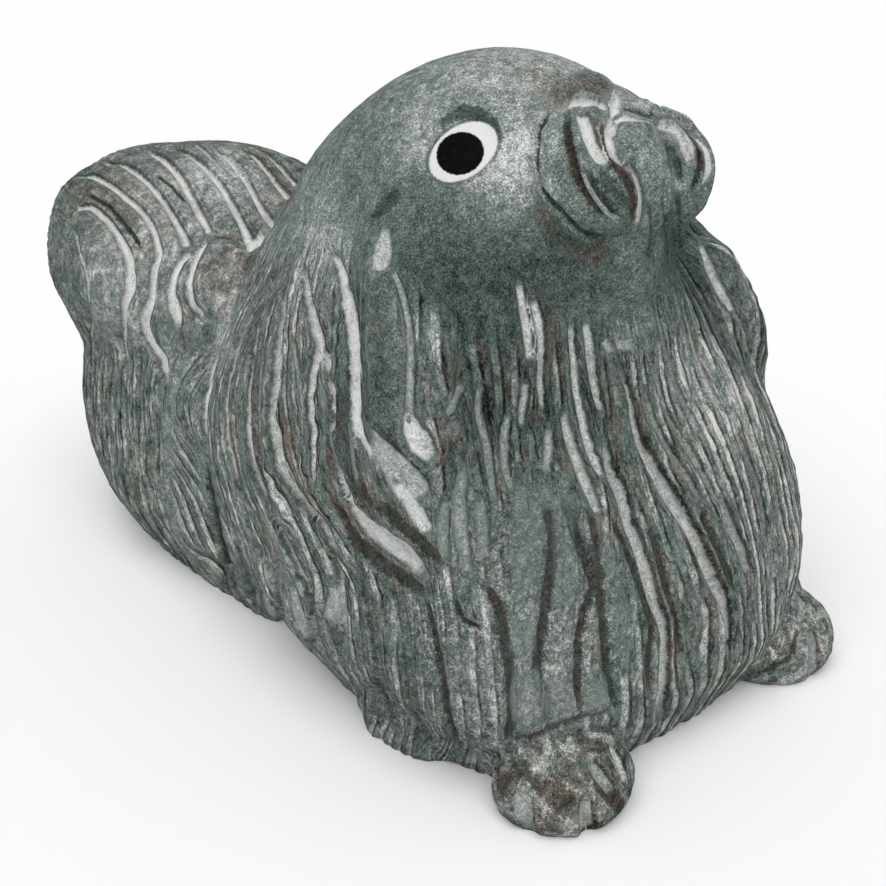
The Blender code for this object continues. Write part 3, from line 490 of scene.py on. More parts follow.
pawGrooves = {
    "pawTop": ([(508, 742), (530, 738), (558, 726), (585, 718), (612, 712)], [0.6, 0.9, 0.9, 0.8, 0.6],
               0.5, 0.0, 0.5),
    "toeA": ([(524, 792), (521, 804), (522, 818), (530, 832)], [1.6, 3.4, 3.2, 1.6], [0.6, 1.2, 1.8, 2.2],
             0.6, 0.6),
    "toeB": ([(586, 800), (587, 812), (588, 824), (589, 838)], [1.2, 1.7, 1.9, 1.9], [0.8, 1.6, 2.2, 2.6],
             0.7, 0.9),
    "toeC": ([(590, 762), (600, 776), (612, 792)], [0.9, 1.7, 1.2], 0.7, 0.5, 0.8),
    "toeD": ([(612, 745), (621, 762), (627, 782)], [0.7, 1.5, 1.0], 0.9, 0.75, 0.8),
    "toeE": ([(630, 790), (628, 800), (622, 812)], [0.9, 1.2, 0.9], [0.8, 1.6, 2.0], 0.0, 0.8),
    "pawSide": ([(497, 755), (493, 775), (500, 798)], [0.8, 1.6, 0.8], 0.6, 0.0, 0.6),
    "pawDarkA": ([(530, 776), (548, 790), (562, 798), (578, 800)], [1.6, 3.2, 3.6, 1.6], 0.1, 0.0, 0.5),
    "pawDarkB": ([(598, 786), (614, 798), (624, 810)], [1.2, 3.0, 1.6], 0.1, 0.0, 0.75),
    "pawDarkC": ([(505, 790), (512, 775), (530, 762)], [1.6, 3.4, 1.6], 0.1, 0.0, 0.5),
    "farToe": ([(812, 628), (814, 650), (813, 675), (812, 690)], [0.8, 1.6, 1.8, 1.6], 1.2, 0.5, 0.6),
    "farWrist": ([(797, 590), (803, 605), (800, 622)], [0.8, 1.2, 0.8], 0.8, 0.6, 0.4),
    "farPawEdge": ([(756, 676), (775, 668), (792, 655), (798, 630)], [0.6, 0.8, 0.8, 0.6], 0.8, 0.0, 0.6),
}

# Brown where the paint is worn off the high strands: way, full width in millimetres, strength
stains = {
    "curl": ([(594, 121), (600, 135), (607, 151), (622, 168), (635, 190), (637, 208), (630, 222)], 2.2,
             0.9),
    "curlBand": ([(566, 125), (568, 151), (577, 182), (590, 201)], 2.2, 0.5),
    "brow": ([(528, 72), (548, 84), (560, 96)], 7.0, 0.6), "noseBack": ([(575, 82), (600, 84)], 4.0, 0.5),
    "underMoustache": ([(548, 222), (570, 240), (600, 250)], 6.0, 0.5),
          "farCurl": ([(686, 126), (698, 138), (703, 160)], 2.6, 0.8),
    "cheekEdge": ([(530, 190), (540, 215)], 5.0, 0.3), "bibTopA": ([(545, 300), (560, 380)], 6.0, 0.4),
    "bibTopB": ([(600, 380), (620, 440)], 5.0, 0.4), "farStrand": ([(640, 470), (700, 560), (720, 600)],
                                                                   7.0, 0.35),
    "flankA": ([(256, 380), (252, 430), (262, 480)], 3.0, 0.7),
          "flankB": ([(232, 400), (234, 440), (240, 480)], 2.0, 0.7),
    "flankC": ([(284, 420), (300, 480), (318, 520)], 3.5, 0.8),
          "flankD": ([(325, 450), (330, 490), (345, 520)], 2.0, 0.7),
    "flankE": ([(300, 560), (320, 600)], 5.0, 0.5),
          "plumeA": ([(85, 165), (120, 175), (160, 205), (180, 240)], 4.5, 0.5),
    "plumeB": ([(130, 150), (170, 165), (200, 205), (215, 240)], 4.5, 0.45),
          "plumeC": ([(60, 190), (90, 190), (130, 215), (140, 260)], 4.0, 0.6),
    "plumeD": ([(201, 250), (213, 264), (226, 280)], 5.0, 0.6),
          "plumeE": ([(250, 150), (280, 180), (290, 200)], 4.0, 0.7),
    "plumeF": ([(55, 250), (70, 300), (85, 340)], 5.0, 0.4), "plumeG": ([(232, 240), (240, 262)], 5.0,
                                                                        0.7),
}

# ways that the hair is combed along, from the dog's right side to its left
combWays = [
    [(258, 268), (222, 335), (203, 415), (218, 490), (245, 570)], [(283, 252), (244, 325), (224, 402),
                                                                   (235, 478), (270, 575)],
            [(292, 250), (262, 322), (245, 420), (262, 498), (303, 585)],
            [(302, 214), (279, 312), (270, 412), (291, 490), (331, 552), (345, 640)],
            [(330, 252), (318, 345), (330, 420), (345, 496), (405, 556), (420, 640)],
            [(400, 296), (411, 360), (420, 450), (432, 540), (445, 620), (450, 700)],
            [(463, 385), (478, 430), (490, 500), (492, 580), (498, 660), (505, 745)],
            [(519, 284), (530, 360), (524, 440), (540, 520), (547, 620), (546, 724)],
            [(572, 322), (582, 412), (605, 475), (612, 540), (610, 640), (617, 706)],
            [(606, 300), (612, 400), (623, 497), (641, 552), (657, 605), (662, 722)],
            [(640, 300), (650, 400), (689, 500), (716, 560), (731, 632), (730, 664)],
            [(684, 296), (697, 352), (730, 425), (752, 490), (765, 560), (768, 640)],
            [(715, 290), (742, 360), (766, 425), (784, 490), (794, 550)],
]
print("ways to cast:", sum(len(part) for part in (plumeGrooves, coatGrooves, bibGrooves, muzzleGrooves,
                                                  pawGrooves)) + len(combWays))


def castWays(skin):
    eye, right, up, back = cameraFrame()
    half, focal = photo["size"] / 2, photo["focal"]

    def cast(way, count):
        hits = []
        for px, py in smoothWay(way, count):
            ray = Vector(right * (px - half) / focal - up * (py - half) / focal - back).normalized()
            spot = skin.ray_cast(Vector(eye), ray)[0]
            hits.append(tuple(spot) if spot else (np.nan,) * 3)
        return np.array(hits)
    return cast


skin = BVHTree.FromPolygons(rest.tolist(), [tuple(face.vertices) for face in casting.data.polygons])
cast = castWays(skin)


# how near each point comes to a line of short straight pieces, within reach, where along it
# (0 to 1) that is, and on which side of it the point lies (1 on the side of sideways)
def nearLine(points, line, reach, sideways=(1.0, 0.0, 0.0)):
    inside = np.all((points > line.min(axis=0) - reach) & (points < line.max(axis=0) + reach), axis=1)
    chosen = np.flatnonzero(inside)
    spots = points[chosen]
    gap, place, side = np.full(len(chosen), 1e9), np.zeros(len(chosen)), np.zeros(len(chosen))
    for number, (first, second) in enumerate(zip(line[:-1], line[1:])):
        run = second - first
        s = np.clip((spots - first) @ run / (run @ run + 1e-12), 0.0, 1.0)
        away = spots - first - s[:, None] * run
        distance = np.linalg.norm(away, axis=1)
        closer = distance < gap
        gap = np.where(closer, distance, gap)
        place = np.where(closer, (number + s) / (len(line) - 1), place)
        side = np.where(closer, np.sign(away @ np.array(sideways)), side)
    return chosen, gap, place, side


# With q the distance from a groove's middle in half widths, or beyond the side of a broad
# groove 1 plus the distance from that side over "edge" millimetres, the groove cuts in by
# depth * (1 - step of q), and a shallow shoulder rounds the locks on both sides. The paint
# gets a cone that falls from 1 at the middle to 0 at q = 4, and q itself with the sign of
# the side, which stays exact between two points of the mesh.
groove = {"flat": 0.5, "foot": 2.7, "cone": 4.0, "taper": 0.06, "shoulderShare": 0.55, "thinnest": 0.3,
          "faint": 0.2, "edge": 0.6}

# for each family of grooves: its ways, the reach of the shoulder, and factors for depth and width
families = [(plumeGrooves, 3.2, 1.1, 0.88), (coatGrooves, 2.4, 0.9, 1.1), (bibGrooves, 1.9, 0.9, 1.0),
            (muzzleGrooves, 1.2, 1.1, 1.12), (pawGrooves, 1.8, 1.1, 1.0)]


def alongWay(values, place):
    column = np.atleast_1d(values)
    return np.interp(place, np.linspace(0, 1, len(column)), column) if len(column) > 1 else column[0]


def cutGrooves(points, facing):
    names = ("cut", "pale", "paleAmount", "paleSide", "dark", "darkAmount", "darkSide", "wallShadeAmount")
    field = {name: np.zeros(len(points)) for name in names}
    right = cameraFrame()[1]
    runs = [(name, row, 1, shares) for part, *shares in families for name, row in part.items()]
    runs += [(name, row, -1, families[1][1:]) for name, row in coatGrooves.items()]
    for name, (way, widths, depth, paleness, darkness), hand, (shoulder, deeper, wider) in runs:
        widths = [width * wider for width in widths]
        line = cast(way, 6 * len(way))
        found = ~np.isnan(line[:, 0])
        share = np.linspace(0, 1, len(line))[found]
        runsOff = not found[-1]
        line = line[found] * np.array((hand, 1, 1))
        if len(line) < 3:
            print("groove missed:", name)
            continue
        reach = max(groove["cone"] * 0.5 * max(widths), shoulder)
        chosen, gap, place, side = nearLine(points, line, reach, right * np.array((hand, 1, 1)))
        place = np.interp(place, np.linspace(0, 1, len(share)), share)
        here = (1 - ramp(-0.05, 0.1, facing[chosen])) if hand < 0 else 1.0
        half = np.maximum(0.5 * alongWay(widths, place), groove["thinnest"])
        q = np.where(gap < half, gap / half, 1 + (gap - half) / np.minimum(half, groove["edge"]))
        last = 1.0 if runsOff else 1 - ramp(1 - groove["taper"], 1.0, place)
        ends = 0.3 + 0.7 * ramp(0.0, groove["taper"], place) * last
        cone = np.clip(1 - q / groove["cone"], 0, 1) * here
        slope = np.clip(1 - gap / shoulder, 0, 1) ** 2 * groove["shoulderShare"]
        slot = (1 - ramp(groove["flat"], groove["foot"], q)) * (1 - groove["shoulderShare"])
        field["cut"][chosen] = np.maximum(field["cut"][chosen], deeper * alongWay(depth, place) * ends
                                          * here * (slot + slope))
        # a groove that isn't pale is a dark crevice: painted shade where the hollow is
        kind, amount = ("pale", paleness) if paleness > groove["faint"] else ("dark", darkness)
        nearer = cone > field[kind][chosen]
        entries = {kind: cone, kind + "Amount": amount * ends, kind + "Side": np.clip(side * q,
                                                                                      -groove["cone"],
                                                                                      groove["cone"])}
        # a pale groove also keeps how strong the painted shade on its walls is
        if kind == "pale":
            entries["wallShadeAmount"] = darkness * ends
        for entry, value in entries.items():
            field[entry][chosen] = np.where(nearer, value, field[entry][chosen])
    return field


def stainMap(points):
    total = np.zeros(len(points))
    for name, (way, width, strengthHere) in stains.items():
        line = cast(way, 5 * len(way))
        line = line[~np.isnan(line[:, 0])]
        chosen, gap = nearLine(points, line, width)[:2]
        total[chosen] = np.maximum(total[chosen], strengthHere
                                   * (1 - ramp(0.4, 1.6, gap / (0.5 * width))))
    return total


# Where the coat begins, how its locks hang and how deep they are cut on the sides that
# the photograph doesn't show. Lengths are in millimetres.
coat = {"axis": -10.0, "girth": 42.0, "frontStart": 77.0, "sideStart": 86.0, "lockPitch": 5.4,
        "lockDepth": 2.3,
        "bunchPitch": 9.0, "bunchDepth": 0.5, "strandPitch": 2.3, "strandDepth": 0.62,
        "haunchAxis": 42.0, "haunchPitch": 5.6, "haunchDepth": 0.7, "haunchStrand": 2.3,
        "partingFront": 27.0, "partingBack": 36.0, "sweptBack": -1.0, "evening": 2}
plume = {"rear": (-20, 92, 60), "front": (-13, 14, 68), "girth": 23.0, "ribPitch": 5.6, "ribDepth": 2.4,
         "sweep": 0.24,
         "shoulder": 46.0, "shoulderFall": 0.52, "knot": (3.0, 9.0), "strandPitch": 2.3,
         "strandDepth": 0.4}


# Combed coordinate: the bearing round the neck is measured between the cast ways at the
# same height, so that it stays the same along each of them. Its unit is a millimetre.
def combed(points):
    x, y, z = points.T
    bearing = np.arctan2(x, -(y - coat["axis"]))
    heights = np.linspace(-5, 115, 61)
    rows = []
    for way in combWays:
        line = cast(way, 40)
        line = line[~np.isnan(line[:, 0])]
        order = np.argsort(line[:, 2])
        turn = np.arctan2(line[:, 0], -(line[:, 1] - coat["axis"]))
        row = np.interp(heights, line[order, 2], turn[order])
        if row.mean() < coat["sweptBack"]:        # flank hair only ever sweeps forward on its way down
            row = np.maximum.accumulate(row[::-1])[::-1]
        padded = np.pad(row, coat["evening"], mode="edge")
        rows.append(np.convolve(padded, np.full(2 * coat["evening"] + 1, 1 / (2 * coat["evening"] + 1)),
                                mode="valid"))
    mirrored = [-row for row in rows[3::-1] if -row.mean() > rows[-1].mean() + 0.1]
    table = np.array(rows + mirrored)
    for number in range(1, len(table)):
        table[number] = np.maximum(table[number], table[number - 1] + 0.03)
    marks = table.mean(axis=1) * coat["girth"]
    spot = np.clip((z - heights[0]) / (heights[1] - heights[0]), 0, len(heights) - 1.001)
    low = spot.astype(int)
    share = spot - low
    turns = table[:, low] * (1 - share) + table[:, low + 1] * share
    outside = np.minimum(bearing - turns[0], 0) + np.maximum(bearing - turns[-1], 0)
    across = marks[0] + coat["girth"] * outside
    for number in range(len(table) - 1):
        step = np.clip((bearing - turns[number]) / (turns[number + 1] - turns[number]), 0, 1)
        across += (marks[number + 1] - marks[number]) * step
    return bearing, across


def eggReach(points, shape):
    return np.linalg.norm((points - np.array(shape[0])) / np.array(shape[1]), axis=1)


# Ribs of the plume: forward along its top, then bent down its side at the shoulder line.
def plumeFlow(points):
    rear, front = np.array(plume["rear"], float), np.array(plume["front"], float)
    forward = (front - rear) / np.linalg.norm(front - rear)
    offset = points - rear
    ahead = offset @ forward
    radial = offset - ahead[:, None] * forward
    around = np.arctan2(-radial[:, 0], radial[:, 2]) * plume["girth"]
    bend = ramp(-4.0, 4.0, np.abs(around) - plume["shoulder"] + plume["shoulderFall"] * ahead)
    lengthwise = around - plume["sweep"] * ahead
    sideways = (plume["shoulder"] - (plume["shoulderFall"] + plume["sweep"])
                * ahead) * np.where(around > 0, 1.0, -1.0)
    across = lengthwise * (1 - bend) + sideways * bend
    along = ahead * (1 - bend) - np.abs(around) * bend
    clear = ramp(*plume["knot"], np.linalg.norm(radial, axis=1))
    turns = across / plume["ribPitch"] + 0.16 * wander(ahead, around / 9.0)
    split = 1.0 + bend
    return across, along, plume["ribDepth"] * clear * (locks(turns * split) / np.sqrt(split) - 0.7)


# how strong a strand is: slow lumps stretched along the hair
def strength(turns, along, seed):
    spots = np.stack([np.round(turns) * 0.73, along / 14.0, np.full(len(turns), float(seed))], axis=1)
    return ramp(-0.5, 0.5, lumps(spots + 300.0, 1.0, seed))


# The smooth lobe of the ear and the worn hair in front of it: ways in pixels, full widths
ear = {"lobe": ([(374, 262), (381, 290), (386, 330), (387, 370), (385, 410), (388, 440), (400, 465),
                 (416, 486)], 8.6),
       "fringe": ([(408, 300), (424, 340), (430, 385), (436, 430), (444, 470)], 6.0)}


def alongEar(sidePoints, band):
    way, width = band
    line = cast(way, 5 * len(way))
    chosen, gap = nearLine(sidePoints, line[~np.isnan(line[:, 0])], width)[:2]
    mask = np.zeros(len(sidePoints))
    mask[chosen] = 1 - ramp(0.8, 1.15, gap / (0.5 * width))
    return mask


# places on the breast where the strands are worn down to a pitted crust: pixel, reach in millimetres
wornPatches = [((435, 655), 13), ((520, 560), 12), ((575, 650), 14), ((462, 735), 10), ((395, 712), 10),
               ((335, 648), 7)]


# Where the outline in the photograph lies inside (-) or outside (+) of the plain masses:
# pixel, reach and push in millimetres. Each fades as exp(-(distance / reach)^2).
nudges = [((690, 119), 4.2, -2.1), ((662, 103), 4.5, -0.9), ((582, 67), 3.5, -0.8),
          ((706, 223), 3.8, -3.6), ((64, 302), 8.5, -2.0), ((68, 192), 6.5, 1.4), ((130, 490), 8.0, 1.9),
          ((212, 572), 4.5, -3.6), ((226, 588), 3.5, -2.0), ((320, 664), 4.6, -4.4),
          ((380, 732), 6.5, -3.6), ((448, 764), 6.5, -4.6)]


def outline(points):
    total = np.zeros(len(points))
    for pixel, reach, push in nudges:
        middle = cast([pixel, pixel], 2)[0]
        if np.isnan(middle[0]):
            print("nudge missed:", pixel)
            continue
        total += push * np.exp(-(np.linalg.norm(points - middle, axis=1) / reach) ** 2)
    return total


# Masks of the regions, all from 0 to 1, and the relief in millimetres outwards.
def carve(points, normals):
    x, y, z = points.T
    sight = cameraFrame()[0] - points
    facing = np.sum(normals * sight, axis=1) / np.linalg.norm(sight, axis=1)
    bearing, across = combed(points)
    front = ramp(0.5, 0.9, np.cos(bearing))
    start = coat["sideStart"] * (1 - front) + coat["frontStart"] * front + 2.5 * lumps(points, 5.0, 3)
    grown = 1 - ramp(start - 9.0, start + 2.0, z)
    rear = ramp(coat["partingFront"], coat["partingBack"], y + 0.12 * (z - 30.0))
    onPlume = np.minimum(eggReach(points, masses["plumeTop"]), eggReach(points, masses["plumeRear"]))
    onPlume = (1 - ramp(1.04, 1.14, onPlume)) * ramp(46.0, 56.0, z) * ramp(12.0, 20.0, y)
    muzzle = 1 - ramp(15.0, 19.0, np.linalg.norm(points
                                                 - np.array((features["muzzleMiddle"], -47.0, 98.0)),
                                                 axis=1))
    paws = 1 - ramp(1.05, 1.2, np.minimum(*[eggReach(points, paw) for paw in features["paws"]]))
    sidePoints = np.stack([-np.abs(x), y, z], axis=1)
    curls = np.zeros(len(points))
    for line, radii in features["earLocks"]:
        chosen, gap = nearLine(sidePoints, np.array(line, float), 8.0)[:2]
        curls[chosen] = np.maximum(curls[chosen], 1 - ramp(3.6, 6.0, gap))
    lobe, fringe = [alongEar(sidePoints, ear[name]) for name in ("lobe", "fringe")]
    seen = ramp(-0.3, 0.0, facing)
    drawn = seen * (1 - ramp(-0.75, -0.55, bearing)) * (x < 0)

    turns = across / coat["strandPitch"] + 0.12 * wander(0.6 * z, across / 9.0) + 0.2 * lumps(points, 9.0,
                                                                                              5)
    cape = locks(across / coat["lockPitch"] + 0.22 * wander(z, across / 10.0))
    grouped = locks(across / coat["lockPitch"] / 3.0 + 0.2 * wander(z, across / 20.0))
    bunch = locks(across / coat["bunchPitch"] + 0.25 * wander(z, across / 8.0))
    main = coat["lockDepth"] * (0.75 * cape + 0.45 * grouped - 0.85) * (1 - front) * (1 - drawn)
    bunches = coat["bunchDepth"] * (bunch - 0.75) * np.maximum(front, 0.3)
    strands = coat["strandDepth"] * (locks(turns) - 0.75) * (0.25 + 0.75 * strength(turns, z, 5))
    capeRelief = grown * (main + bunches + strands)

    behind = np.arctan2(x, y - coat["haunchAxis"])
    haunchAcross = behind * coat["girth"]
    haunchTurns = haunchAcross / coat["haunchStrand"] + 0.3 * lumps(points, 9.0, 9)
    haunch = locks(haunchAcross / coat["haunchPitch"] + 0.22 * wander(z, behind * 4.0))
    haunchStrands = coat["strandDepth"] * (locks(haunchTurns) - 0.75) * strength(haunchTurns, z, 9)
    haunchRelief = coat["haunchDepth"] * (haunch - 0.7) + haunchStrands

    plumeAcross, plumeAlong, ribs = plumeFlow(points)
    plumeDrawn = seen * ramp(16.0, 24.0, y)
    plumeTurns = plumeAcross / plume["strandPitch"] + 0.25 * lumps(points, 8.0, 11)
    ribs = ribs * (1 - plumeDrawn) + plume["strandDepth"] * (locks(plumeTurns)
                                                             - 0.7) * strength(plumeTurns, plumeAlong, 11)

    plain = np.maximum(np.maximum(muzzle, paws), np.maximum(0.8 * curls, lobe))
    relief = (capeRelief * (1 - rear) + haunchRelief * rear) * (1 - onPlume) + ribs * onPlume
    relief = relief * (1 - plain)
    relief += (0.16 * lumps(points, 2.6, 13) + 0.12 * lumps(points, 1.3, 17)) * (0.3 + 0.7 * grown)
    worn = np.zeros(len(points))
    for pixel, reach in wornPatches:
        worn = np.maximum(worn, np.exp(-(np.linalg.norm(points - cast([pixel, pixel], 2)[0],
                                                        axis=1) / reach) ** 2))
    relief = relief * (1 - 0.6 * worn)
    field = cutGrooves(points, facing)

    isRear, isPlume = rear > 0.5, onPlume > 0.5
    hairTurns = np.where(isPlume, plumeTurns, np.where(isRear, haunchTurns, turns))
    hairAlong = np.where(isPlume, plumeAlong, z)
    smooth = np.maximum((1 - grown) * (1 - rear) * (1 - onPlume), np.maximum(np.maximum(muzzle, paws),
                                                                             lobe))
    smooth = smooth * (1 - 0.85 * fringe)
    smooth = np.maximum(smooth, 0.6 * worn)
    for border in (rear * (1 - onPlume), onPlume):        # the strands change course there
        smooth = np.maximum(smooth, np.exp(-((border - 0.5) / 0.3) ** 2))
    tone = toneMap(points)
    earth = np.maximum(stainMap(points), 0.34 * onPlume + 0.31 * grown * (1 - onPlume) + 0.16 * paws)
    return relief - field["cut"] + outline(points), {
        "hair": (hairTurns, hairAlong, isPlume * 1.0 + isRear * 0.5),
        "wash": (field["pale"], field["paleAmount"], field["paleSide"]),
        "shade": (field["dark"], field["darkAmount"], field["darkSide"]),
        "edge": (field["wallShadeAmount"], np.clip(-relief / 1.5, 0, 1), paws),
        "form": (smooth, earth, tone),
        "crusted": (worn, worn, worn)}


# Soft patches where the value is lighter or darker than its middle: the place in the
# photograph's pixels, the reach in millimetres and the step in value. They are mirrored.
# The crown's is painted light on the top of the head, the cheek's is partly painted shade
# on its downward face, the throat's and the one under the lip are painted shade beneath the
# head and moustache, and the lid's is painted shade above the eye.
patches = {
    "crownLitTop": ((480, 85), 22, 0.19), "crownLeft": ((385, 140), 16, -0.08), "brow": ((530, 90), 12, 0.0),
    "cheekToneAndShade": ((455, 225), 18, -0.09), "throat": ((490, 320), 18, -0.17),
           "cheekFront": ((515, 180), 6, 0.16),
    "lobeTop": ((385, 330), 6, -0.08), "lobeMid": ((385, 390), 6, -0.15),
           "lobeLow": ((398, 450), 6, -0.12),
    "lobeRight": ((425, 335), 6, 0.22), "lobeRightLow": ((426, 410), 6, 0.20),
           "behindEar": ((315, 250), 10, 0.16),
    "nape": ((225, 340), 9, 0.14), "plumeTop": ((200, 180), 18, 0.22),
           "plumeSide": ((110, 290), 14, 0.14), "bibLow": ((560, 660), 18, 0.12),
    "bibRight": ((715, 380), 14, 0.29), "haunchMid": ((150, 470), 20, 0.05),
           "nearPaw": ((560, 780), 12, 0.05), "farPaw": ((810, 650), 12, 0.06),
           "leftBib": ((480, 430), 9, -0.08), "muzzle": ((600, 160), 9, -0.02),
           "muzzleFar": ((670, 170), 7, 0.06), "bibHigh": ((585, 420), 11, -0.05),
           "hem": ((290, 605), 9, 0.12),
    "eyeFront": ((515, 150), 6, 0.14), "eyeBack": ((420, 135), 6, 0.12),
           "eyeBelow": ((470, 192), 7, 0.06),
    "lid": ((474, 110), 4, -0.10), "noseBean": ((590, 88), 4, -0.16), "underLipShade": ((585, 262), 9, -0.06),
}


def toneMap(points):
    sides = np.stack([-np.abs(points[:, 0]), points[:, 1], points[:, 2]], axis=1)
    total = np.zeros(len(points))
    for name, (pixel, reach, amount) in patches.items():
        middle = cast([pixel, pixel], 2)[0]
        if np.isnan(middle[0]):
            print("patch missed:", name)
            continue
        where = points if middle[0] > -8 else sides
        total += amount * np.exp(-(np.linalg.norm(where - middle, axis=1) / reach) ** 2)
    return total


push, fields = carve(rest, normals)
casting.data.vertices.foreach_set("co", (rest + normals * push[:, None]).astype(np.float32).ravel())
for name, columns in fields.items():
    stored = casting.data.attributes.new(name, "FLOAT_VECTOR", "POINT")
    stored.data.foreach_set("vector", np.stack(columns, axis=1).astype(np.float32).ravel())
print("carved, deepest cut in mm:", round(float(-push.min()), 2))

# what the finished casting may hold
finish = {"triangles": 246000, "tolerance": 0.001}


# thins the skin where it is plain, cuts the underside flat and closes it
def finishCasting(made):
    before = sum(len(face.vertices) - 2 for face in made.data.polygons)
    thin = made.modifiers.new("thin out", "DECIMATE")
    thin.ratio = min(1.0, finish["triangles"] / before)
    settle(made)
    shape = bmesh.new()
    shape.from_mesh(made.data)
    everything = shape.verts[:] + shape.edges[:] + shape.faces[:]
    bmesh.ops.bisect_plane(shape, geom=everything, dist=finish["tolerance"], plane_co=(0, 0, 0),
                           plane_no=(0, 0, -1), clear_outer=True)
    bmesh.ops.edgeloop_fill(shape, edges=[edge for edge in shape.edges if edge.is_boundary])
    bmesh.ops.triangulate(shape, faces=[face for face in shape.faces if len(face.verts) > 3])
    bmesh.ops.dissolve_degenerate(shape, dist=finish["tolerance"], edges=shape.edges[:])
    bmesh.ops.recalc_face_normals(shape, faces=shape.faces[:])
    shape.to_mesh(made.data)
    shape.free()
    points = readVectors(made.data.vertices, "co") + np.array((0, -layout["neckToMiddle"], 0))
    made.data.vertices.foreach_set("co", (points * layout["step"]).astype(np.float32).ravel())
    made.data.update()
    made.data.shade_smooth()
    made.name = made.data.name = "carvedDog"
    print("casting:", before, "->", len(made.data.polygons), "faces")


finishCasting(casting)


# A value inside a material. Sums written on it become Math nodes.
class Signal:
    def __init__(self, paint, socket):
        self.paint, self.socket = paint, socket

    def __add__(self, other):
        return self.paint.maths("ADD", self, other)

    def __sub__(self, other):
        return self.paint.maths("SUBTRACT", self, other)

    def __rsub__(self, other):
        return self.paint.maths("SUBTRACT", other, self)

    def __mul__(self, other):
        return self.paint.maths("MULTIPLY", self, other)

    def __truediv__(self, other):
        return self.paint.maths("DIVIDE", self, other)

    __radd__, __rmul__ = __add__, __mul__


# One material and its nodes.
class Paint:
    def __init__(self, name):
        self.material = bpy.data.materials.new(name)
        self.material.use_nodes = True
        self.tree = self.material.node_tree
        self.shader = self.tree.nodes["Principled BSDF"]

    # adds a node: its settings and a ramp's stops first, then a value or a link for each
    # socket, named by its name or by i and its number
    def node(self, kind, settings=None, stops=None, **sockets):
        made = self.tree.nodes.new("ShaderNode" + kind)
        for name, value in (settings or {}).items():
            setattr(made, name, value)
        for index, (position, colour) in enumerate(stops or []):
            stop = made.color_ramp.elements[index] if index < 2 else made.color_ramp.elements.new(position)
            stop.position, stop.color = position, colour
        for name, value in sockets.items():
            socket = made.inputs[int(name[1:])] if name[1:].isdigit() else made.inputs[name]
            if isinstance(value, Signal):
                self.tree.links.new(value.socket, socket)
            else:
                socket.default_value = value
        return made

    def out(self, made, name=0):
        return Signal(self, made.outputs[name])

    def maths(self, operation, first, second=0.0, third=0.0):
        return self.out(self.node("Math", {"operation": operation}, i0=first, i1=second, i2=third))

    # 0 at low and 1 at high, eased
    def step(self, value, low, high):
        return self.out(self.node("MapRange", {"interpolation_type": "SMOOTHSTEP"}, i0=value, i1=low,
                                  i2=high, i3=0.0, i4=1.0))

    # noise round zero, about one half either way
    def noise(self, vector, scale, detail=3.0, rough=0.55, twist=0.0, gain=2.2):
        made = self.node("TexNoise", {"noise_dimensions": "3D"}, Vector=vector, Scale=scale,
                         Detail=detail, Roughness=rough, Distortion=twist)
        return (self.out(made, "Fac") - 0.5) * gain

    def mix(self, share, under, over):
        return self.out(self.node("Mix", {"data_type": "RGBA"}, i0=share, i6=under, i7=over), 2)

    def ramp(self, value, stops):
        return self.out(self.node("ValToRGB", None, stops, i0=value))

    def vector(self, x, y, z):
        return self.out(self.node("CombineXYZ", i0=x, i1=y, i2=z))

    def parts(self, vector):
        made = self.node("SeparateXYZ", i0=vector)
        return [self.out(made, index) for index in range(3)]

    def attribute(self, name):
        return self.parts(self.out(self.node("Attribute", {"attribute_name": name}), "Vector"))


# a colour as a screen shows it, each part from 0 to 255, as the shader wants it
def srgb(red, green, blue):
    parts = [value / 255 for value in (red, green, blue)]
    return tuple(part / 12.92 if part <= 0.04 else ((part + 0.055) / 1.055) ** 2.4
                 for part in parts) + (1.0,)


# The patina runs from the dark of the crevices' painted shade over grey-green to the pale wash;
# where it is worn it goes brown at the same value, and the painted shade beside grooves, beside strips and
# in crevices turns partly brown too.
patina = {"green": [(0.0, srgb(25, 30, 27)), (1.0, srgb(246, 248, 245)), (0.2, srgb(61, 72, 67)),
                    (0.4, srgb(91, 105, 100)), (0.55, srgb(115, 129, 124)), (0.7, srgb(144, 154, 150)),
                    (0.85, srgb(192, 195, 192))],
          "brown": [(0.0, srgb(33, 28, 24)), (1.0, srgb(240, 238, 234)), (0.2, srgb(70, 62, 54)),
                    (0.4, srgb(101, 92, 83)), (0.55, srgb(124, 117, 109)), (0.7, srgb(150, 147, 142)),
                    (0.85, srgb(188, 187, 183))],
          "middle": 0.49, "contrast": 1.25, "lift": 0.06, "pawsDarker": 0.10, "brownDarker": 0.05,
          # worn: the lighter grey in the pupil's black, partly worn paint and partly painted sheen
          "brownest": 0.9, "white": srgb(219, 220, 218), "pupil": srgb(7, 7, 9), "worn": srgb(38, 39, 42)}

# The painted eye on the dog's right, mirrored over the middle: an oval whose upper front
# end is drawn out, and a round pupil. Sizes in millimetres, directions along the cheek.
eyePaint = {"pixel": (460, 153), "right": (0.768, -0.641, 0.0), "up": (0.273, 0.327, 0.905),
            "pupil": (3.75, 3.55),
            "whiteShift": (0.5, 0.3), "white": (5.9, 4.25), "whiteTurn": 36.0, "rim": 1.12,
            "ragged": 0.09, "near": (9.0, 10.0)}


# noise in the stone: cells in a millimetre, detail, roughness and twist
noises = {"grain": (3.2, 3.0, 0.85), "speck": (4.6, 2.0, 0.7), "blotch": (0.15, 4.0, 0.6, 0.8),
          "mottle": (0.34, 6.0, 0.72, 1.0), "crust": (0.9, 5.0, 0.8, 0.6),
          "patch": (0.24, 5.0, 0.75, 1.2),
          "pit": (1.5, 4.0, 0.8, 0.4), "vein": (0.6, 3.0, 0.6, 1.6), "veinPlace": (0.28, 2.0)}
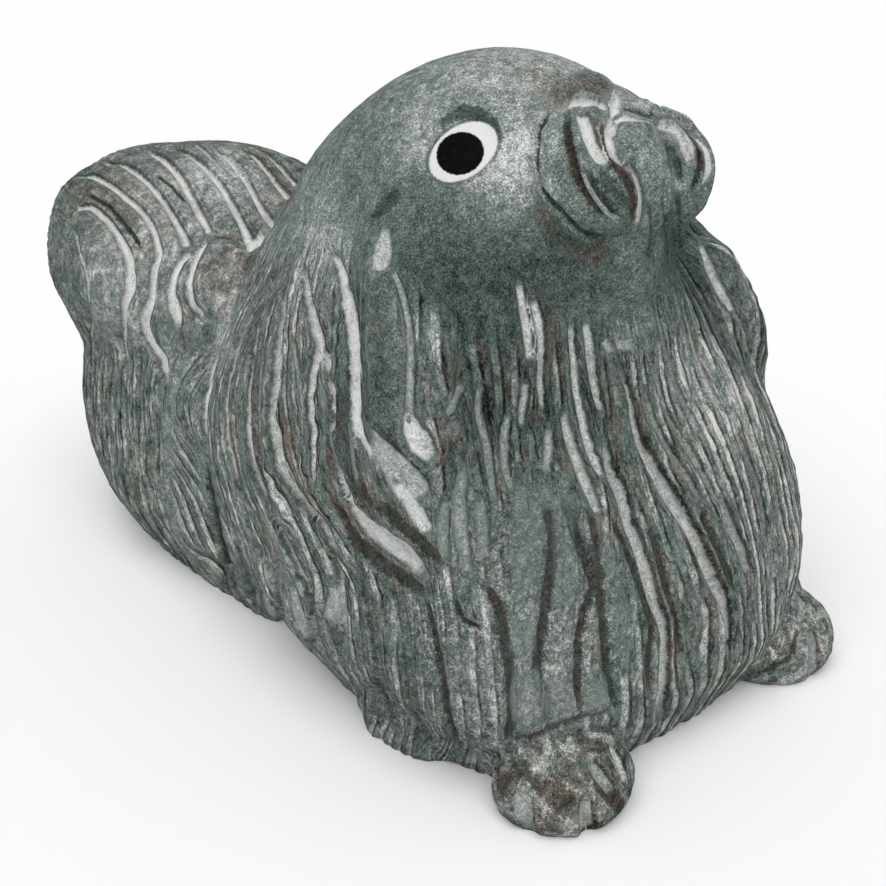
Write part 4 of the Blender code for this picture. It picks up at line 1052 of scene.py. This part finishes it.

# What each pattern adds to the value, to the brown and to the height of the bump: a share
# everywhere, and a further one where a mask holds.
# the painted shade beside the grooves, beside the strips (line) and in the crevices darkens the value here
valueShares = {
    "grain": {"all": 0.46, "smooth": 0.16}, "blotch": {"all": 0.12, "paws": 0.10, "haunch": 0.12},
    "mottle": {"all": 0.18, "smooth": 0.08, "paws": 0.04, "haunch": 0.12, "tail": 0.12},
    "crust": {"all": 0.26, "smooth": 0.10, "paws": -0.02, "crusted": 0.34},
    "patch": {"paws": 0.36}, "patchStep": {"paws": 0.14},
    "streak": {"hairy": 0.40, "hairyTail": -0.22}, "thread": {"hairy": 0.20, "hairyTail": -0.11},
    "crack": {"all": -0.04, "hairy": -0.08}, "slits": {"all": -0.14, "tail": 0.10},
    "pits": {"all": -0.24, "crusted": -0.14}, "strip": {"all": 0.20, "haunch": -0.10},
    "line": {"all": -0.19, "haunch": 0.057}, "halo": {"all": 0.16}, "paintedWallShade": {"all": -0.34},
    "valleys": {"hairy": 0.16}, "darkSpecks": {"all": -0.14}, "paleSpecks": {"all": 0.12}}
# the painted shade beside the grooves and strips and in the crevices also turns brown
brownShares = {
    "earth": {"all": 0.95}, "thread": {"hairy": 0.6}, "blotch": {"all": 0.5}, "crust": {"all": 0.5},
    "grain": {"all": 0.3}, "paintedWallShade": {"all": 0.24}, "line": {"all": 0.3}, "creviceShadeMask": {"all": 0.25},
    "paleMask": {"all": -0.7}, "strip": {"all": -0.2}}
heightShares = {
    "grain": {"all": 0.4}, "speck": {"all": 0.2}, "crust": {"all": 0.3, "crusted": 0.8},
    "streak": {"hairy": 0.7, "hairyTail": -0.4}, "strip": {"all": -0.5}, "line": {"all": -0.5},
    "slits": {"all": -0.4}, "creviceShadeMask": {"all": -0.6}, "paleMask": {"all": -0.5}, "paintedWallShade": {"all": -0.3}}
# dark, darkCover and darkGrain set the painted shade in the crevices; the pale entries set the wash in the
# grooves
fills = {"darkCover": 0.88, "dark": 0.14, "darkGrain": 0.35, "pale": 0.42, "paleGain": 0.61,
         "paleGrain": 0.42,
         "paleSpecks": 0.12, "coverFull": 0.45}
surface = {"roughness": 0.88, "pupilRoughness": 0.38, "bump": 0.0004, "specular": 0.03}


# sum of pattern * (share everywhere + mask * share of each mask)
def blend(patterns, masks, shares):
    total = 0.0
    for name, places in shares.items():
        amount = places.get("all", 0.0)
        for place, share in places.items():
            if place != "all":
                amount = masks[place] * share + amount
        total = patterns[name] * amount + total
    return total


# Grooves: the pale bottom and its halo, painted shade on the walls at its two sides (stronger
# on the side to the camera's right), and painted shade in the dark crevices. The borders are frayed by the
# noise.
def grooveMasks(paint, patterns, hairy, wallShadeAmount):
    pale, paleAmount, paleSide = paint.attribute("wash")
    dark, darkAmount, darkSide = paint.attribute("shade")
    grain, crust, streak = [patterns[name] for name in ("grain", "crust", "streak")]
    ragged = grain * 0.35 + crust * 0.55 + streak * 0.25 * hairy

    # half widths from a groove's middle: exact beside the middle, and never near zero
    # where two grooves meet half way
    def fromMiddle(cone, side):
        return paint.maths("MAXIMUM", paint.maths("ABSOLUTE", side), (1 - cone) * groove["cone"] - 0.7)

    def beyondSide(side, far, farthest):
        return paint.step(side + ragged * 0.6, 1.2, 1.5) * (1 - paint.step(side + ragged * 1.4, far,
                                                                           farthest))

    frayed = (grain * 1.2 + crust * 1.6 + patterns["mottle"] * 0.2) * (0.4 + hairy * 0.6)
    paleQ = fromMiddle(pale, paleSide) + frayed + streak * 0.4 * hairy
    covered = 1 - paint.step(paleQ, 0.9, 1.7)
    darkQ = fromMiddle(dark, darkSide) + ragged * 1.1 + grain * 0.6 * hairy
    sides = beyondSide(paleSide, 1.7, 2.9) + beyondSide(paleSide * -1.0, 1.5, 2.5) * 0.5
    patterns["paleMask"] = covered * paleAmount
    patterns["halo"] = (1 - paint.step(paleQ + crust * 1.4 + grain * 1.2, 1.4, 3.2)) * paleAmount
    # painted shade on the walls beside the pale bottom, stronger on the side to the camera's right
    patterns["paintedWallShade"] = sides * wallShadeAmount * paint.step(pale, 0.02, 0.15)
    # painted shade in the dark crevices and folds
    patterns["creviceShadeMask"] = (1 - paint.step(darkQ, 0.6, 1.7)) * darkAmount
    clear = 1 - paint.step(paint.maths("MAXIMUM", pale, dark), 0.15, 0.5)
    return ragged, clear, paleAmount, covered * paint.step(paleAmount, 0.0, fills["coverFull"])


# Strips between the drawn grooves: pale in the valleys, with a dark line of painted shade,
# partly brown, on one side of each. Each strand has its own strength, which changes slowly along it.
def strandLines(paint, patterns, ragged, free, turns, along, region):
    strandId = paint.maths("ROUND", turns)
    offset = turns - strandId
    spot = paint.vector(strandId * 3.71, along * 0.07, region * 7.0)
    presence = paint.noise(spot, 1.0, 2.0, 0.5, 0.0, 2.6)
    width = 0.19 + presence * 0.14
    inside = 1 - paint.step(paint.maths("ABSOLUTE", offset) + ragged * 0.16 - width, -0.05, 0.05)
    beside = offset - width + ragged * 0.14
    edge = paint.step(beside, -0.03, 0.03) * (1 - paint.step(beside, 0.10, 0.22))
    patterns["strip"] = inside * paint.step(presence, -0.25, 0.1) * free
    # the dark line is painted shade on the valley's shadow side
    patterns["line"] = edge * paint.step(presence, -0.35, 0.0) * free


# The eye: an oval of white paint with a dark rim under it, and a round black pupil, both
# measured along the cheek from the eye's middle.
def paintEye(paint, colour, spot, patterns):
    x, y, z = paint.parts(spot)
    grain, crust = patterns["grain"], patterns["crust"]
    cx, cy, cz = cast([eyePaint["pixel"]] * 2, 2)[0]
    dx = paint.maths("ABSOLUTE", x) * -1.0 - cx
    dy, dz = y - (cy - layout["neckToMiddle"]), z - cz
    (rx, ry, rz), (ux, uy, uz) = eyePaint["right"], eyePaint["up"]
    u = dx * rx + dy * ry + dz * rz
    v = dx * ux + dy * uy + dz * uz
    near = 1 - paint.step(paint.maths("SQRT", dx * dx + dy * dy + dz * dz), *eyePaint["near"])

    def oval(middle, radii, turn=0.0):
        c, s = math.cos(math.radians(turn)), math.sin(math.radians(turn))
        a = (u - middle[0]) * (c / radii[0]) + (v - middle[1]) * (s / radii[0])
        b = (v - middle[1]) * (c / radii[1]) - (u - middle[0]) * (s / radii[1])
        reach = paint.maths("SQRT", a * a + b * b) + grain * eyePaint["ragged"]
        return (1 - paint.step(reach, 0.96, 1.02)) * near

    rim = [radius * eyePaint["rim"] for radius in eyePaint["white"]]
    rimMask = oval(eyePaint["whiteShift"], rim, eyePaint["whiteTurn"])
    whiteMask = oval(eyePaint["whiteShift"], eyePaint["white"], eyePaint["whiteTurn"])
    pupilMask = oval((0.0, 0.0), eyePaint["pupil"])
    colour = paint.mix(rimMask * 0.45, colour, patina["green"][2][1])
    chipped = paint.step(grain + crust * 0.6, 0.16, 0.4) * 0.35
    colour = paint.mix(whiteMask * (0.97 - chipped), colour, patina["white"])
    # lighter patches in the black: partly worn paint, partly painted sheen on the glossy pupil
    black = paint.mix(paint.step(crust + grain * 0.4, 0.05, 0.5) * 0.55, patina["pupil"], patina["worn"])
    return paint.mix(pupilMask, colour, black), whiteMask, pupilMask


def dressCasting(made):
    paint = Paint("patinated concrete")
    place = paint.out(paint.node("TexCoord"), "Object")
    spot = paint.out(paint.node("VectorMath", {"operation": "SCALE"}, i0=place, i3=1 / layout["step"]))
    turns, along, region = paint.attribute("hair")
    wallShadeAmount, hollow, paws = paint.attribute("edge")
    smooth, earth, tone = paint.attribute("form")
    hairy = 1 - smooth
    haunch, tail = paint.step(region, 0.2, 0.4), paint.step(region, 0.7, 0.9)
    masks = {"smooth": smooth, "hairy": hairy, "paws": paws, "crusted": paint.attribute("crusted")[0],
             "haunch": haunch, "tail": tail, "hairyTail": hairy * tail}

    patterns = {name: paint.noise(spot, *row) for name, row in noises.items()}
    grain, speck, crust = [patterns[name] for name in ("grain", "speck", "crust")]
    fine = paint.vector(turns * 3.4, along * 0.34, region * 7.0)
    broad = paint.vector(turns * 1.6 + 40.0, along * 0.10, region * 7.0)
    slit = paint.noise(paint.vector(turns * 1.1 + 9.0, along * 0.16, region * 3.0), 1.0, 3.0, 0.6, 0.5)
    patterns["streak"] = streak = paint.noise(fine, 1.0, 5.0, 0.75, 0.4)
    patterns["thread"] = paint.noise(broad, 1.0, 3.0, 0.55, 0.3)
    patterns["slits"] = (1 - paint.step(paint.maths("ABSOLUTE", slit) + grain * 0.02, 0.015,
                                        0.07)) * hairy
    vein = 1 - paint.step(paint.maths("ABSOLUTE", patterns["vein"]), 0.02, 0.09)
    patterns["crack"] = vein * paint.step(patterns["veinPlace"], 0.0, 0.3)
    patterns["pits"] = paint.step(patterns["pit"], 0.26, 0.42)
    patterns["patchStep"] = paint.step(patterns["patch"], -0.12, 0.12)
    patterns["valleys"] = paint.step(hollow + streak * 0.4 + grain * 0.3, 0.45, 0.9)
    patterns["darkSpecks"] = paint.step(speck, 0.22, 0.42)
    patterns["paleSpecks"] = paint.step(speck * -1.0, 0.26, 0.45)
    patterns["earth"] = earth
    ragged, clear, paleAmount, covered = grooveMasks(paint, patterns, hairy, wallShadeAmount)
    strandLines(paint, patterns, ragged, hairy * clear * (1 - tail * 0.75), turns, along, region)

    value = blend(patterns, masks, valueShares) + tone - paws * patina["pawsDarker"]
    value = value * patina["contrast"] + patina["middle"] + patina["lift"]
    # the crevices are filled with their painted shade
    creviceShadeMask, crevice = patterns["creviceShadeMask"], fills["dark"] + (grain + crust) * fills["darkGrain"]
    value = value * (1 - creviceShadeMask * fills["darkCover"]) + creviceShadeMask * crevice
    bottom = fills["pale"] + paleAmount * fills["paleGain"] + (grain + crust) * fills["paleGrain"]
    bottom = bottom - paint.step(speck, 0.2, 0.4) * fills["paleSpecks"]
    value = value * (1 - covered) + covered * bottom
    brown = paint.step(blend(patterns, masks, brownShares), 0.25, 0.65)
    value = value - brown * patina["brownDarker"]
    green, worn = [paint.ramp(value, patina[name]) for name in ("green", "brown")]
    colour = paint.mix(brown * patina["brownest"], green, worn)
    colour, whiteMask, pupilMask = paintEye(paint, colour, spot, patterns)

    gloss = pupilMask * (surface["roughness"] - surface["pupilRoughness"])
    height = blend(patterns, masks, heightShares) * (1 - whiteMask * 0.8)
    bump = paint.node("Bump", Strength=1.0, Distance=surface["bump"], Height=height)
    paint.tree.links.new(colour.socket, paint.shader.inputs["Base Color"])
    paint.tree.links.new((surface["roughness"] - gloss).socket, paint.shader.inputs["Roughness"])
    paint.tree.links.new(bump.outputs["Normal"], paint.shader.inputs["Normal"])
    paint.shader.inputs["Specular IOR Level"].default_value = surface["specular"]
    made.data.materials.clear()
    made.data.materials.append(paint.material)


dressCasting(casting)
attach(casting, "root")
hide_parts("dog")
print("casting dressed")

studio = {"floor": 3.0, "floorColour": srgb(248, 248, 248), "world": 0.55, "sunFrom": (-0.45, -0.35, 1.0),
          "sunPower": 1.9, "sunSpread": 55.0}


def makeStudio():
    half = studio["floor"] / 2
    floor = meshObject("floor", np.array([(-half, -half, 0), (half, -half, 0), (half, half, 0),
                                          (-half, half, 0)], float),
                       np.array([(0, 1, 2, 3)]))
    sheet = Paint("pale floor")
    sheet.shader.inputs["Base Color"].default_value = studio["floorColour"]
    sheet.shader.inputs["Roughness"].default_value = 0.9
    floor.data.materials.append(sheet.material)
    world = bpy.data.worlds.new("studio")
    world.use_nodes = True
    world.node_tree.nodes["Background"].inputs["Color"].default_value = (1, 1, 1, 1)
    world.node_tree.nodes["Background"].inputs["Strength"].default_value = studio["world"]
    bpy.context.scene.world = world
    light = bpy.data.lights.new("overhead", "SUN")
    light.energy, light.angle = studio["sunPower"], math.radians(studio["sunSpread"])
    lamp = bpy.data.objects.new("overhead", light)
    bpy.context.scene.collection.objects.link(lamp)
    lamp.location = studio["sunFrom"]
    lamp.rotation_mode = "QUATERNION"
    lamp.rotation_quaternion = Vector(studio["sunFrom"]).to_track_quat("Z", "Y")


def makeCamera():
    eye, right, up, back = cameraFrame()
    lens = bpy.data.cameras.new("camera")
    lens.sensor_width = 36.0
    lens.lens = lens.sensor_width * photo["focal"] / photo["size"]
    lens.clip_start, lens.clip_end = 0.01, 20.0
    made = bpy.data.objects.new("camera", lens)
    bpy.context.scene.collection.objects.link(made)
    made.location = Vector(eye + np.array((0, -layout["neckToMiddle"], 0))) * layout["step"]
    made.rotation_mode = "QUATERNION"
    made.rotation_quaternion = Vector(-back).to_track_quat("-Z", "Y")
    bpy.context.scene.camera = made


makeStudio()
makeCamera()
bpy.context.scene.view_settings.view_transform = "Standard"
print("studio and camera ready")
